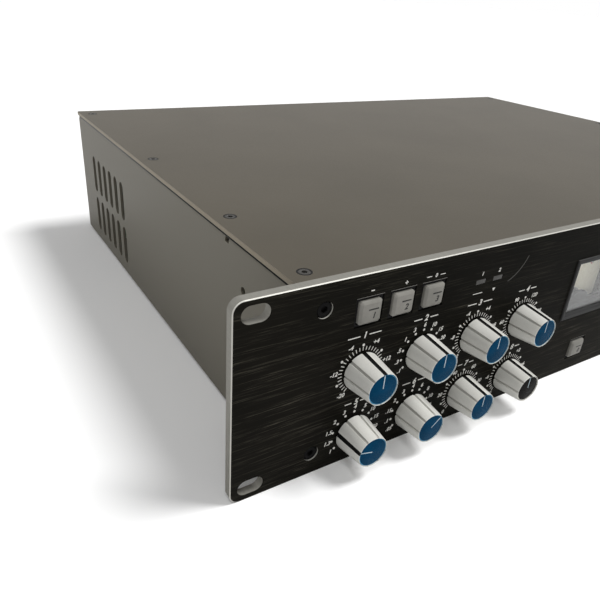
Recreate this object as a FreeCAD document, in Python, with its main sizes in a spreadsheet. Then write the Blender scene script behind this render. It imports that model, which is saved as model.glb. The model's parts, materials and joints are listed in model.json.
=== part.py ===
"""Two-channel rack compressor, two units high, drawn as an assembly of separate pieces.

Millimetres. X runs to the right, Y to the back and Z up. The origin is the centre of the front
panel's rear face, the face that meets the rails of the rack.
"""
import FreeCAD
import Part
import Sketcher
import math
import os
import re
from FreeCAD import Placement, Rotation, Vector

SIZES = {
    # Front panel and the slots that fasten it to the rack
    "panel_width": 482.6,
    "panel_height": 88.1,
    "panel_thickness": 4.0,
    "panel_corner_radius": 4.5,
    "panel_edge_chamfer": 0.35,
    "rack_slot_inset": 8.75,
    "rack_slot_edge": 5.95,
    "rack_slot_length": 11.0,
    "rack_slot_height": 7.0,
    "rack_slot_chamfer": 0.25,
    # Folded chassis tray and its cover
    "chassis_width": 432.0,
    "chassis_depth": 306.0,
    "chassis_height": 87.4,
    "panel_overhang": 0.45,
    "sheet_thickness": 1.5,
    "edge_bend_radius": 2.4,
    "rear_corner_radius": 4.5,
    "front_flange": 22.0,
    "rear_flange": 16.0,
    "rear_lip": 8.0,
    "top_flange": 18.0,
    "cover_thickness": 2.0,
    "cover_front_gap": 0.4,
    "cover_corner_radius": 1.5,
    # Side walls: vents, one notch and one round hole
    "vent_width": 7.0,
    "vent_length": 25.0,
    "vent_pitch": 12.75,
    "vent_row_pitch": 29.5,
    "vent_rear_inset": 36.5,
    "vent_upper_height": 7.5,
    "notch_depth": 53.4,
    "notch_width": 3.6,
    "notch_height": 2.2,
    "notch_drop": 4.3,
    "side_hole_depth": 38.0,
    "side_hole_height": 23.0,
    "side_hole_radius": 2.0,
    # Screws, each a head over a shank that runs in a clearance hole
    "screw_clearance": 0.12,
    "cover_screw_inset": 8.2,
    "cover_screw_front_inset": 7.1,
    "cover_screw_second_depth": 67.6,
    "cover_screw_third_depth": 166.0,
    "cover_screw_rear_inset": 11.0,
    "cover_screw_head": 3.0,
    "cover_screw_head_height": 1.6,
    "cover_screw_shank": 1.5,
    "cover_screw_length": 6.0,
    "cover_screw_socket": 1.2,
    "panel_screw_inset": 10.7,
    "panel_screw_edge": 10.85,
    "panel_screw_head": 3.2,
    "panel_screw_head_height": 1.9,
    "panel_screw_sink": 2.3,
    "panel_screw_shank": 2.0,
    "panel_screw_length": 8.0,
    "panel_screw_socket": 1.5,
    "rear_screw_height": 30.0,
    "small_screw_head": 2.6,
    "small_screw_head_height": 1.3,
    "small_screw_shank": 1.4,
    "small_screw_length": 6.0,
    "small_screw_socket": 1.0,
    # Knobs: a ribbed shell on a shaft, with a cap in its front
    "knob_side_inset": 30.7,
    "knob_column_pitch": 31.4,
    "knob_top_row": 1.7,
    "knob_row_pitch": 30.9,
    "knob_base_radius": 8.55,
    "knob_front_radius": 7.05,
    "knob_height": 13.8,
    "knob_panel_gap": 0.8,
    "knob_rim": 0.65,
    "knob_cap_seat": 1.6,
    "knob_cap_sink": 0.3,
    "knob_groove_width": 1.5,
    "knob_groove_depth": 0.45,
    "knob_groove_count": 8,
    "knob_cavity_radius": 6.6,
    "knob_cavity_depth": 3.6,
    "ratio_rest_angle": -75.0,
    "release_rest_angle": 50.0,
    # Potentiometers behind the panel
    "pot_width": 15.0,
    "pot_depth": 12.0,
    "pot_bore_depth": 9.0,
    "bushing_radius": 3.5,
    "bushing_reach": 2.5,
    "shaft_radius": 3.0,
    "shaft_clearance": 0.05,
    "nut_thickness": 2.0,
    "nut_circumradius": 5.7,
    "press_travel": 0.5,
    "press_pin_radius": 1.5,
    "press_pin_gap": 0.05,
    # Square keys
    "key_side_inset": 31.1,
    "key_column_pitch": 16.0,
    "key_row": 28.1,
    "key_width": 10.3,
    "key_height": 9.8,
    "key_length": 5.0,
    "key_reach": 1.4,
    "key_chamfer": 0.8,
    "key_window_gap": 1.3,
    "key_travel": 1.0,
    "key_stem_width": 4.0,
    "key_stem_length": 8.0,
    "key_stem_clearance": 0.08,
    "key_housing_width": 12.0,
    "key_housing_gap": 0.4,
    "centre_key_row": -30.0,
    # Indicator windows over the make-up knobs
    "indicator_knob_shift": 2.7,
    "indicator_pitch": 10.4,
    "indicator_row": 28.1,
    "indicator_width": 5.8,
    "indicator_height": 2.4,
    "trim_clearance": 0.06,
    # Moving-coil meters in the middle of the panel
    "meter_offset": 34.0,
    "meter_row": 9.0,
    "meter_window_width": 46.0,
    "meter_window_height": 34.0,
    "meter_flange": 3.0,
    "meter_depth": 24.0,
    "meter_cavity": 10.0,
    "meter_wall": 1.0,
    "bezel_reach": 0.8,
    "bezel_face": 3.0,
    "bezel_seat": 1.5,
    "glass_thickness": 1.6,
    "glass_depth": 3.2,
    "scale_thickness": 0.8,
    "pivot_drop": 10.0,
    "needle_length": 21.0,
    "needle_tail": 5.0,
    "needle_width": 0.9,
    "needle_tail_width": 3.0,
    "needle_thickness": 0.6,
    "needle_hub_radius": 2.6,
    "needle_hub_length": 2.0,
    "needle_gap": 1.0,
    "needle_rest_angle": -42.0,
    "staff_radius": 1.0,
    "staff_clearance": 0.2,
    "staff_length": 9.0,
    # Boards inside
    "board_thickness": 1.6,
    "control_board_height": 76.0,
    "control_board_margin": 9.2,
    "centre_board_gap": 12.0,
    "centre_board_height": 22.0,
    "standoff_height": 8.0,
    "standoff_radius": 3.2,
    "main_board_transformer_gap": 4.0,
    "main_board_side_gap": 13.0,
    "main_board_front_gap": 20.0,
    "main_board_rear_gap": 30.0,
    "board_hole_inset": 6.0,
    "supply_board_side_gap": 12.0,
    "supply_board_width": 94.0,
    "supply_board_length": 88.0,
    "supply_board_rear_gap": 32.0,
    "connector_width": 12.0,
    "connector_height": 8.0,
    "connector_overlap": 6.0,
    # Power supply pieces
    "transformer_side_inset": 66.0,
    "transformer_depth": 100.0,
    "transformer_radius": 40.0,
    "transformer_core_radius": 11.0,
    "transformer_height": 34.0,
    "transformer_edge_radius": 8.0,
    "clamp_radius": 22.0,
    "clamp_thickness": 1.5,
    "clamp_bolt_radius": 3.0,
    "clamp_bolt_head": 5.0,
    "clamp_bolt_head_height": 4.0,
    "capacitor_radius": 11.0,
    "capacitor_height": 30.0,
    "capacitor_pitch": 26.0,
    "heatsink_inset": 18.0,
    "heatsink_base": 3.0,
    "heatsink_fin_reach": 12.0,
    "heatsink_fin_thickness": 1.6,
    "heatsink_fin_pitch": 8.0,
    "heatsink_fin_count": 8,
    "heatsink_height": 38.0,
    # Rear panel pieces
    "rear_plate_clearance": 0.25,
    "socket_side_inset": 76.0,
    "socket_pitch": 32.0,
    "socket_height": 0.0,
    "socket_flange_width": 26.0,
    "socket_flange_height": 31.0,
    "socket_flange_thickness": 2.0,
    "socket_barrel_radius": 11.8,
    "socket_barrel_length": 22.0,
    "socket_bore_radius": 9.6,
    "socket_bore_depth": 13.0,
    "socket_insert_radius": 7.5,
    "socket_pin_radius": 1.2,
    "socket_pin_length": 11.0,
    "socket_pin_circle": 4.2,
    "socket_screw_across": 9.5,
    "socket_screw_up": 12.2,
    "inlet_side_inset": 51.0,
    "inlet_body_width": 27.0,
    "inlet_body_height": 33.0,
    "inlet_body_depth": 24.0,
    "inlet_flange": 2.0,
    "inlet_flange_thickness": 2.5,
    "inlet_recess_width": 24.0,
    "inlet_recess_height": 16.0,
    "inlet_recess_depth": 17.0,
    "inlet_recess_drop": 5.5,
    "inlet_blade_width": 2.0,
    "inlet_blade_height": 4.0,
    "inlet_blade_length": 14.0,
    "inlet_blade_pitch": 7.0,
    "drawer_width": 21.0,
    "drawer_height": 6.4,
    "drawer_length": 20.0,
    "drawer_rise": 9.6,
    "drawer_clearance": 0.15,
    "drawer_lip": 1.2,
    "switch_side_inset": 88.0,
    "switch_width": 15.0,
    "switch_height": 21.0,
    "switch_depth": 14.0,
    "switch_flange": 1.5,
    "switch_cavity_depth": 9.0,
    "rocker_width": 9.4,
    "rocker_height": 15.2,
    "rocker_thickness": 6.0,
    "rocker_side_gap": 0.3,
    "rocker_end_gap": 1.1,
    "rocker_pin_radius": 1.0,
    "rocker_pin_reach": 1.4,
    "rocker_tilt": 9.0,
}

# Places that several pieces share, as expressions over the sizes
PANEL_FRONT = "(-panel_thickness)"
BASE = "(panel_overhang - panel_height / 2)"
COVER_TOP = f"({BASE} + chassis_height)"
TRAY_TOP = f"({COVER_TOP} - cover_thickness)"
FLOOR = f"({BASE} + sheet_thickness)"
CEILING = f"({TRAY_TOP} - sheet_thickness)"
SIDE = "(chassis_width / 2)"
SIDE_INSIDE = f"({SIDE} - sheet_thickness)"
REAR_INSIDE = "(chassis_depth - sheet_thickness)"
REAR_PLATE_HALF = f"({SIDE_INSIDE} - rear_corner_radius)"
REAR_SCREW_COLUMN = f"(({REAR_PLATE_HALF} + {SIDE} - rear_flange) / 2)"
BOARD_TOP = f"({FLOOR} + standoff_height + board_thickness)"
RACK_SLOT_COLUMN = "(panel_width / 2 - rack_slot_inset)"
RACK_SLOT_LEVEL = "(panel_height / 2 - rack_slot_edge)"
PANEL_SCREW_COLUMN = f"({SIDE} - panel_screw_inset)"
PANEL_SCREW_LEVEL = "(panel_height / 2 - panel_screw_edge)"
KNOB_COLUMN = f"({SIDE} - knob_side_inset)"
KEY_COLUMN = f"({SIDE} - key_side_inset)"
INDICATOR_COLUMN = f"({KNOB_COLUMN} - 2 * knob_column_pitch + indicator_knob_shift)"
CHANNEL_SHIFT = f"(2 * {KNOB_COLUMN} - 3 * knob_column_pitch)"
KNOB_BASE = f"({PANEL_FRONT} - knob_panel_gap)"
KNOB_FRONT = f"({KNOB_BASE} - knob_height)"
KNOB_SEAT = f"({KNOB_FRONT} + knob_cap_seat)"
KNOB_CAVITY = f"({KNOB_BASE} - knob_cavity_depth)"
KNOB_BORE = "(shaft_radius + shaft_clearance)"
CAP_RADIUS = "(knob_front_radius - knob_rim)"
SHAFT_END = "(pot_bore_depth - press_travel - press_pin_gap)"
KEY_FRONT = f"({PANEL_FRONT} - key_reach)"
KEY_REAR = f"({KEY_FRONT} + key_length)"
KEY_HOUSING_FRONT = f"({KEY_REAR} + key_travel + key_housing_gap)"
PIVOT_HEIGHT = "(meter_row - pivot_drop)"
NEEDLE_REAR = "(meter_cavity - scale_thickness - needle_gap)"
ROCKER_PIVOT = f"({REAR_INSIDE} - 1)"
CONTROL_BOARD_OUTER = f"({KNOB_COLUMN} + control_board_margin)"
CONTROL_BOARD_INNER = f"({KNOB_COLUMN} - 3 * knob_column_pitch - control_board_margin)"
TRANSFORMER_COLUMN = f"(transformer_side_inset - {SIDE})"
SUPPLY_LEFT = f"(supply_board_side_gap - {SIDE})"
SUPPLY_RIGHT = f"({SUPPLY_LEFT} + supply_board_width)"
SUPPLY_REAR = "(chassis_depth - supply_board_rear_gap)"
SUPPLY_FRONT = f"({SUPPLY_REAR} - supply_board_length)"
MAIN_LEFT = f"({TRANSFORMER_COLUMN} + transformer_radius + main_board_transformer_gap)"
MAIN_BOARD = (MAIN_LEFT, f"({SIDE} - main_board_side_gap)",
              "main_board_front_gap", "(chassis_depth - main_board_rear_gap)")
SUPPLY_BOARD = (SUPPLY_LEFT, SUPPLY_RIGHT, SUPPLY_FRONT, SUPPLY_REAR)
HEATSINK_COLUMN = f"({SUPPLY_LEFT} + heatsink_inset)"
INLET_COLUMN = f"(inlet_side_inset - {SIDE})"
SWITCH_COLUMN = f"(switch_side_inset - {SIDE})"

CHANNELS = (1, 2)
TOP_ROW = ("threshold", "attack", "make_up", "filter")
BOTTOM_ROW = ("ratio", "release", "mix", "trim")
PRESSED_KNOB = "make_up"
FEMALE_SOCKETS = (0, 1, 2, 3)
MALE_SOCKETS = (4, 5)
FACE_FRONT = Rotation(Vector(1, 0, 0), 90)
FACE_REAR = Rotation(Vector(1, 0, 0), -90)

doc = FreeCAD.newDocument("rack_compressor")
sheet = doc.addObject("Spreadsheet::Sheet", "Sizes")
for row, (alias, number) in enumerate(SIZES.items(), start=1):
    sheet.set(f"A{row}", alias)
    sheet.set(f"B{row}", str(number))
    sheet.setAlias(f"B{row}", alias)
doc.recompute()


# ---------------------------------------------------------------- expressions
def cells(expression):
    """The expression with every size's name turned into a reference to its cell."""
    def refer(match):
        word = match.group(0)
        return "Sizes." + word if word in SIZES else word
    return re.sub(r"[a-z_]+", refer, str(expression))


def amount(expression):
    """What an expression comes to with the sizes as they are."""
    return float(sheet.evalExpression(cells(expression)))


def bind(item, **expressions):
    """Ties properties of an item to expressions over the sizes."""
    for name, expression in expressions.items():
        item.setExpression(name, cells(expression))
    return item


def put(item, across, back, up, facing=None):
    """Ties the item's place to expressions; facing turns it first."""
    if facing is not None:
        item.Placement = Placement(Vector(), facing)
    for axis, expression in zip("xyz", (across, back, up)):
        item.setExpression(f"Placement.Base.{axis}", cells(expression))
    return item


def span(centre, size):
    """Both ends of a size centred on a place."""
    return f"({centre} - ({size}) / 2)", f"({centre} + ({size}) / 2)"


# ---------------------------------------------------------------- plain solids
def box(name, across, back, up):
    """A block between the two ends given on each axis."""
    item = doc.addObject("Part::Box", name)
    ends = (across, back, up)
    for side, (low, high) in zip(("Length", "Width", "Height"), ends):
        bind(item, **{side: f"{high} - {low}"})
    return put(item, *(low for low, _ in ends))


def rod(name, radius, across, back, up):
    """A round bar along Y between the two ends given in back."""
    item = bind(doc.addObject("Part::Cylinder", name), Radius=radius, Height=f"{back[1]} - {back[0]}")
    return put(item, across, back[0], up, FACE_REAR)


def post(name, radius, across, back, up):
    """A round bar along Z between the two ends given in up."""
    item = bind(doc.addObject("Part::Cylinder", name), Radius=radius, Height=f"{up[1]} - {up[0]}")
    return put(item, across, back, up[0])


def fuse(name, *items):
    item = doc.addObject("Part::MultiFuse", name)
    item.Shapes = list(items)
    return item


def group(name, *items):
    """Separate solids that are handled as one item."""
    item = doc.addObject("Part::Compound", name)
    item.Links = list(items)
    return item


def cut(name, base, *tools):
    item = doc.addObject("Part::Cut", name)
    item.Base = base
    item.Tool = tools[0] if len(tools) == 1 else group(name + "_tools", *tools)
    return item


def copy_of(master, name, across, back, up, facing=None):
    """The master's shape again, moved, and turned when a facing is given."""
    return put(group(name, master), across, back, up, facing)


# ---------------------------------------------------------------- bodies and sketches
def body_named(name):
    return doc.addObject("PartDesign::Body", name)


def origin_feature(body, role):
    return next(item for item in body.Origin.OriginFeatures if item.Role == role)


def sketch_on(body, plane, name, offset="0"):
    """A sketch on one of the body's own planes, moved along that plane's normal."""
    sketch = body.newObject("Sketcher::SketchObject", name)
    sketch.AttachmentSupport = [(origin_feature(body, plane), "")]
    sketch.MapMode = "FlatFace"
    sketch.setExpression("AttachmentOffset.Base.z", cells(offset))
    return sketch


def constrain(sketch, plain, measured):
    """Adds an outline's constraints at once; each measured one comes with its expression."""
    first = sketch.ConstraintCount + len(plain)
    sketch.addConstraint([Sketcher.Constraint(*terms) for terms in plain]
                         + [Sketcher.Constraint(*terms, amount(size)) for terms, size in measured])
    for index, (_, size) in enumerate(measured, start=first):
        sketch.setExpression(f"Constraints[{index}]", cells(size))


def at_point(index, end, point):
    """The two dimensions that hold one point of a sketch."""
    return [(("DistanceX", -1, 1, index, end), point[0]), (("DistanceY", -1, 1, index, end), point[1])]


def draw_polygon(sketch, *points):
    """A closed outline whose corners follow expressions."""
    spots = [Vector(amount(across), amount(up), 0) for across, up in points]
    lines = [sketch.addGeometry(Part.LineSegment(start, end))
             for start, end in zip(spots, spots[1:] + spots[:1])]
    joints = [("Coincident", line, 2, following, 1) for line, following in zip(lines, lines[1:] + lines[:1])]
    corners = [term for line, point in zip(lines, points) for term in at_point(line, 1, point)]
    constrain(sketch, joints, corners)


def draw_rectangle(sketch, across, up):
    (left, right), (low, high) = across, up
    draw_polygon(sketch, (left, low), (right, low), (right, high), (left, high))


def draw_circle(sketch, radius, across, up):
    centre = Vector(amount(across), amount(up), 0)
    index = sketch.addGeometry(Part.Circle(centre, Vector(0, 0, 1), amount(radius)))
    constrain(sketch, [], [(("Radius", index), radius)] + at_point(index, 3, (across, up)))


def draw_slot(sketch, across, up, length, width, upright=False):
    """A slot with round ends, lying along the sketch's first axis or standing upright."""
    reach = f"(({length}) - ({width})) / 2"
    if upright:
        ends = [(across, f"{up} - {reach}"), (across, f"{up} + {reach}")]
    else:
        ends = [(f"{across} - {reach}", up), (f"{across} + {reach}", up)]
    low, high = (Vector(amount(x), amount(z), 0) for x, z in ends)
    radius = amount(width) / 2
    turn = math.pi / 2 if upright else 0.0
    beside = Vector(-math.sin(turn), math.cos(turn), 0) * radius
    axis = Vector(0, 0, 1)
    lower_arc = sketch.addGeometry(
        Part.ArcOfCircle(Part.Circle(low, axis, radius), turn + math.pi / 2, turn + 3 * math.pi / 2))
    first = sketch.addGeometry(Part.LineSegment(low - beside, high - beside))
    upper_arc = sketch.addGeometry(
        Part.ArcOfCircle(Part.Circle(high, axis, radius), turn - math.pi / 2, turn + math.pi / 2))
    second = sketch.addGeometry(Part.LineSegment(high + beside, low + beside))
    meets = [("Tangent", lower_arc, 2, first, 1), ("Tangent", first, 2, upper_arc, 1),
             ("Tangent", upper_arc, 2, second, 1), ("Tangent", second, 2, lower_arc, 1)]
    constrain(sketch, meets, [(("Radius", lower_arc), f"({width}) / 2")]
              + at_point(lower_arc, 3, ends[0]) + at_point(upper_arc, 3, ends[1]))


def raise_from(body, sketch, name, length, backwards=False):
    """A pad along the sketch's normal, or against it."""
    feature = body.newObject("PartDesign::Pad", name)
    feature.Profile = sketch
    feature.Reversed = backwards
    return bind(feature, Length=length)


def sink_into(body, sketch, name, length, both_ways=False):
    """A pocket against the sketch's normal, or the same distance both ways."""
    feature = body.newObject("PartDesign::Pocket", name)
    feature.Profile = sketch
    if both_ways:
        feature.SideType = "Symmetric"
    return bind(feature, Length=length)


def soften(body, kind, name, expression, chosen):
    """A fillet or chamfer on the edges of the body's tip that the test chooses."""
    doc.recompute()
    tip = body.Tip
    names = [f"Edge{number}" for number, edge in enumerate(tip.Shape.Edges, start=1) if chosen(edge)]
    feature = body.newObject("PartDesign::" + kind, name)
    feature.Base = (tip, names)
    return bind(feature, **{"Radius" if kind == "Fillet" else "Size": expression})


def near(number, expression):
    return abs(number - amount(expression)) < 0.001


def flat_at(edge, axis, expression):
    """Whether every end of the edge lies at one place on an axis."""
    return all(near(getattr(vertex.Point, axis), expression) for vertex in edge.Vertexes)


def runs_along(edge, axis):
    start, end = edge.Vertexes[0].Point, edge.Vertexes[-1].Point
    across = [name for name in "xyz" if name != axis]
    same = all(abs(getattr(start, name) - getattr(end, name)) < 0.001 for name in across)
    return same and abs(getattr(start, axis) - getattr(end, axis)) > 0.001


# ---------------------------------------------------------------- places of controls
def channel_x(expression, channel):
    """A place measured left of the middle, moved to the second channel when asked."""
    return f"(-({expression}) + {CHANNEL_SHIFT} * {channel - 1})"


def knob_places():
    """Name, channel, column and height of every knob."""
    for channel in CHANNELS:
        for names, height in ((TOP_ROW, "knob_top_row"), (BOTTOM_ROW, "(knob_top_row - knob_row_pitch)")):
            for column, name in enumerate(names):
                across = channel_x(f"{KNOB_COLUMN} - {column} * knob_column_pitch", channel)
                yield name, channel, across, height


def key_places():
    """Name, column and height of every key."""
    for channel in CHANNELS:
        for column, name in enumerate(("first", "second", "third")):
            across = channel_x(f"{KEY_COLUMN} - {column} * key_column_pitch", channel)
            yield f"key_{name}_{channel}", across, "key_row"
    for channel, sign in zip(CHANNELS, "-+"):
        yield f"key_in_{channel}", f"({sign}meter_offset)", "centre_key_row"


def indicator_places():
    for channel in CHANNELS:
        for column in range(2):
            yield channel_x(f"{INDICATOR_COLUMN} - {column} * indicator_pitch", channel)


def panel_screw_places():
    for side in "-+":
        for level in "-+":
            yield f"({side}{PANEL_SCREW_COLUMN})", f"({level}{PANEL_SCREW_LEVEL})"


def cover_screw_places():
    for side in "-+":
        for back in ("cover_screw_front_inset", "cover_screw_second_depth", "cover_screw_third_depth",
                     "(chassis_depth - cover_screw_rear_inset)"):
            yield f"({side}({SIDE} - cover_screw_inset))", back


def rear_screw_places():
    for side in "-+":
        for level in "-+":
            yield f"({side}{REAR_SCREW_COLUMN})", f"({level}rear_screw_height)"


def socket_column(order):
    return f"({SIDE} - socket_side_inset - {5 - order} * socket_pitch)"


# ---------------------------------------------------------------- front panel and chassis
def make_front_panel():
    """Plate with rack slots, control holes, key and meter windows and four counterbored holes."""
    body = body_named("front_panel")
    through = "2 * panel_thickness + 2"
    face = sketch_on(body, "XZ_Plane", "panel_face")
    draw_rectangle(face, span("0", "panel_width"), span("0", "panel_height"))
    for side in "-+":
        for level in "-+":
            draw_slot(face, f"({side}{RACK_SLOT_COLUMN})", f"({level}{RACK_SLOT_LEVEL})",
                      "rack_slot_length", "rack_slot_height")
    raise_from(body, face, "panel_plate", "panel_thickness")
    controls = sketch_on(body, "XZ_Plane", "panel_control_holes")
    for _, _, across, up in knob_places():
        draw_circle(controls, "bushing_radius + screw_clearance", across, up)
    for across, up in panel_screw_places():
        draw_circle(controls, "panel_screw_shank + screw_clearance", across, up)
    sink_into(body, controls, "panel_round_holes", through, both_ways=True)
    windows = sketch_on(body, "XZ_Plane", "panel_key_windows")
    for _, across, up in key_places():
        draw_rectangle(windows, span(across, "key_width + 2 * key_window_gap"),
                       span(up, "key_height + 2 * key_window_gap"))
    sink_into(body, windows, "panel_key_openings", through, both_ways=True)
    displays = sketch_on(body, "XZ_Plane", "panel_display_windows")
    for across in indicator_places():
        draw_rectangle(displays, span(across, "indicator_width"), span("indicator_row", "indicator_height"))
    for side in "-+":
        draw_rectangle(displays, span(f"({side}meter_offset)", "meter_window_width"),
                       span("meter_row", "meter_window_height"))
    sink_into(body, displays, "panel_display_openings", through, both_ways=True)
    sinks = sketch_on(body, "XZ_Plane", "panel_counterbores", "panel_thickness")
    for across, up in panel_screw_places():
        draw_circle(sinks, "panel_screw_head + 2 * screw_clearance", across, up)
    sink_into(body, sinks, "panel_counterbore", "panel_screw_sink")
    soften(body, "Fillet", "panel_corners", "panel_corner_radius",
           lambda edge: runs_along(edge, "y") and near(abs(edge.CenterOfMass.x), "panel_width / 2"))
    soften(body, "Chamfer", "panel_edge", "panel_edge_chamfer",
           lambda edge: flat_at(edge, "y", PANEL_FRONT)
           and near(abs(edge.CenterOfMass.z), "panel_height / 2"))
    soften(body, "Chamfer", "slot_edges", "rack_slot_chamfer",
           lambda edge: flat_at(edge, "y", PANEL_FRONT) and runs_along(edge, "x")
           and near(edge.Length, "rack_slot_length - rack_slot_height"))
    return body


def make_chassis_tray():
    """Folded tray: floor, sides and flanges, open at the front, the top and most of the back."""
    body = body_named("chassis_tray")
    outline = sketch_on(body, "XY_Plane", "tray_outline", BASE)
    draw_rectangle(outline, span("0", "chassis_width"), ("0", "chassis_depth"))
    raise_from(body, outline, "tray_block", f"{TRAY_TOP} - {BASE}")
    soften(body, "Fillet", "tray_rear_corners", "rear_corner_radius",
           lambda edge: runs_along(edge, "z") and flat_at(edge, "y", "chassis_depth"))
    soften(body, "Fillet", "tray_bends", "edge_bend_radius",
           lambda edge: (flat_at(edge, "z", BASE) or flat_at(edge, "z", TRAY_TOP))
           and not flat_at(edge, "y", "0"))
    room = sketch_on(body, "XY_Plane", "tray_room", CEILING)
    draw_rectangle(room, span("0", f"2 * {SIDE_INSIDE}"), ("sheet_thickness", REAR_INSIDE))
    sink_into(body, room, "tray_hollow", f"{CEILING} - {FLOOR}")
    soften(body, "Fillet", "tray_inner_corners", "rear_corner_radius - sheet_thickness",
           lambda edge: runs_along(edge, "z") and flat_at(edge, "y", REAR_INSIDE))
    mouth = sketch_on(body, "XY_Plane", "tray_mouth", TRAY_TOP)
    draw_rectangle(mouth, span("0", f"2 * ({SIDE} - top_flange)"),
                   ("-1", "chassis_depth - top_flange"))
    sink_into(body, mouth, "tray_top_opening", "2 * sheet_thickness")
    front = sketch_on(body, "XZ_Plane", "tray_front", "1")
    draw_rectangle(front, span("0", f"2 * ({SIDE} - front_flange)"), (FLOOR, f"{TRAY_TOP} + 1"))
    sink_into(body, front, "tray_front_opening", "2 * sheet_thickness + 1")
    rear = sketch_on(body, "XZ_Plane", "tray_rear", f"-({REAR_INSIDE} - 1)")
    draw_rectangle(rear, span("0", f"2 * ({SIDE} - rear_flange)"),
                   (f"{FLOOR} + rear_lip", f"{CEILING} - rear_lip"))
    sink_into(body, rear, "tray_rear_opening", "2 * sheet_thickness + 1")
    sides = sketch_on(body, "YZ_Plane", "tray_sides")
    for column in range(6):
        for level in range(2):
            draw_slot(sides, f"(chassis_depth - vent_rear_inset - {column} * vent_pitch)",
                      f"(vent_upper_height - {level} * vent_row_pitch)",
                      "vent_length", "vent_width", upright=True)
    draw_rectangle(sides, span("notch_depth", "notch_width"),
                   span(f"({COVER_TOP} - notch_drop)", "notch_height"))
    draw_circle(sides, "side_hole_radius", "side_hole_depth", "side_hole_height")
    sink_into(body, sides, "tray_side_openings", "chassis_width + 2", both_ways=True)
    tops = sketch_on(body, "XY_Plane", "tray_top_holes", TRAY_TOP)
    for across, back in cover_screw_places():
        draw_circle(tops, "cover_screw_shank + screw_clearance", across, back)
    sink_into(body, tops, "tray_top_screw_holes", "2 * sheet_thickness")
    fronts = sketch_on(body, "XZ_Plane", "tray_front_holes", "1")
    for across, up in panel_screw_places():
        draw_circle(fronts, "panel_screw_shank + screw_clearance", across, up)
    sink_into(body, fronts, "tray_front_screw_holes", "2 * sheet_thickness + 1")
    rears = sketch_on(body, "XZ_Plane", "tray_rear_holes", f"-({REAR_INSIDE} - 1)")
    for across, up in rear_screw_places():
        draw_circle(rears, "small_screw_shank + screw_clearance", across, up)
    sink_into(body, rears, "tray_rear_screw_holes", "2 * sheet_thickness + 1")
    return body


def make_top_cover():
    """Flat cover with countersunk holes along both sides."""
    body = body_named("top_cover")
    outline = sketch_on(body, "XY_Plane", "cover_outline", TRAY_TOP)
    draw_rectangle(outline, span("0", "chassis_width"), ("cover_front_gap", "chassis_depth"))
    for across, back in cover_screw_places():
        draw_circle(outline, "cover_screw_shank + screw_clearance", across, back)
    raise_from(body, outline, "cover_plate", "cover_thickness")
    soften(body, "Fillet", "cover_corners", "cover_corner_radius",
           lambda edge: runs_along(edge, "z") and near(abs(edge.CenterOfMass.x), SIDE))
    sinks = sketch_on(body, "XY_Plane", "cover_countersinks", COVER_TOP)
    for across, back in cover_screw_places():
        draw_circle(sinks, "cover_screw_head + screw_clearance", across, back)
    feature = sink_into(body, sinks, "cover_countersink", "cover_screw_head_height")
    taper = math.degrees(math.atan2(amount("cover_screw_head - cover_screw_shank"),
                                    amount("cover_screw_head_height")))
    feature.TaperAngle = -taper
    return body


def make_rear_panel():
    """Plate behind the tray's rear flanges, with the holes of the sockets, inlet and switch."""
    body = body_named("rear_panel")
    face = sketch_on(body, "XZ_Plane", "rear_face", f"-{REAR_INSIDE}")
    draw_rectangle(face, span("0", f"2 * {REAR_PLATE_HALF}"),
                   (f"{FLOOR} + rear_plate_clearance", f"{CEILING} - rear_plate_clearance"))
    for across, up in rear_screw_places():
        draw_circle(face, "small_screw_shank + screw_clearance", across, up)
    for order in FEMALE_SOCKETS + MALE_SOCKETS:
        draw_circle(face, "socket_barrel_radius + screw_clearance", socket_column(order), "socket_height")
        for sign in "-+":
            draw_circle(face, "small_screw_shank + screw_clearance",
                        f"({socket_column(order)} {sign} socket_screw_across)",
                        f"(socket_height {sign} socket_screw_up)")
    draw_rectangle(face, span(INLET_COLUMN, "inlet_body_width + 2 * screw_clearance"),
                   span("0", "inlet_body_height + 2 * screw_clearance"))
    draw_rectangle(face, span(SWITCH_COLUMN, "switch_width - 2 * switch_flange + 2 * screw_clearance"),
                   span("0", "switch_height - 2 * switch_flange + 2 * screw_clearance"))
    raise_from(body, face, "rear_plate", "sheet_thickness")
    return body


# ---------------------------------------------------------------- screws
def make_screw(name, prefix, countersunk=False):
    """Socket screw with the top of its head at the origin and its shank pointing down."""
    shank = post(name + "_shank", f"{prefix}_shank", "0", "0",
                 (f"(-{prefix}_length)", f"(-{prefix}_head_height / 2)"))
    if countersunk:
        head = bind(doc.addObject("Part::Cone", name + "_head"), Radius1=f"{prefix}_shank",
                    Radius2=f"{prefix}_head", Height=f"{prefix}_head_height")
        put(head, "0", "0", f"-{prefix}_head_height")
    else:
        head = post(name + "_head", f"{prefix}_head", "0", "0", (f"(-{prefix}_head_height)", "0"))
    socket = bind(doc.addObject("Part::Prism", name + "_socket"), Circumradius=f"{prefix}_socket",
                  Height=f"{prefix}_head_height")
    put(socket, "0", "0", f"-{prefix}_head_height / 2")
    return cut(name, fuse(name + "_blank", head, shank), socket)


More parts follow.
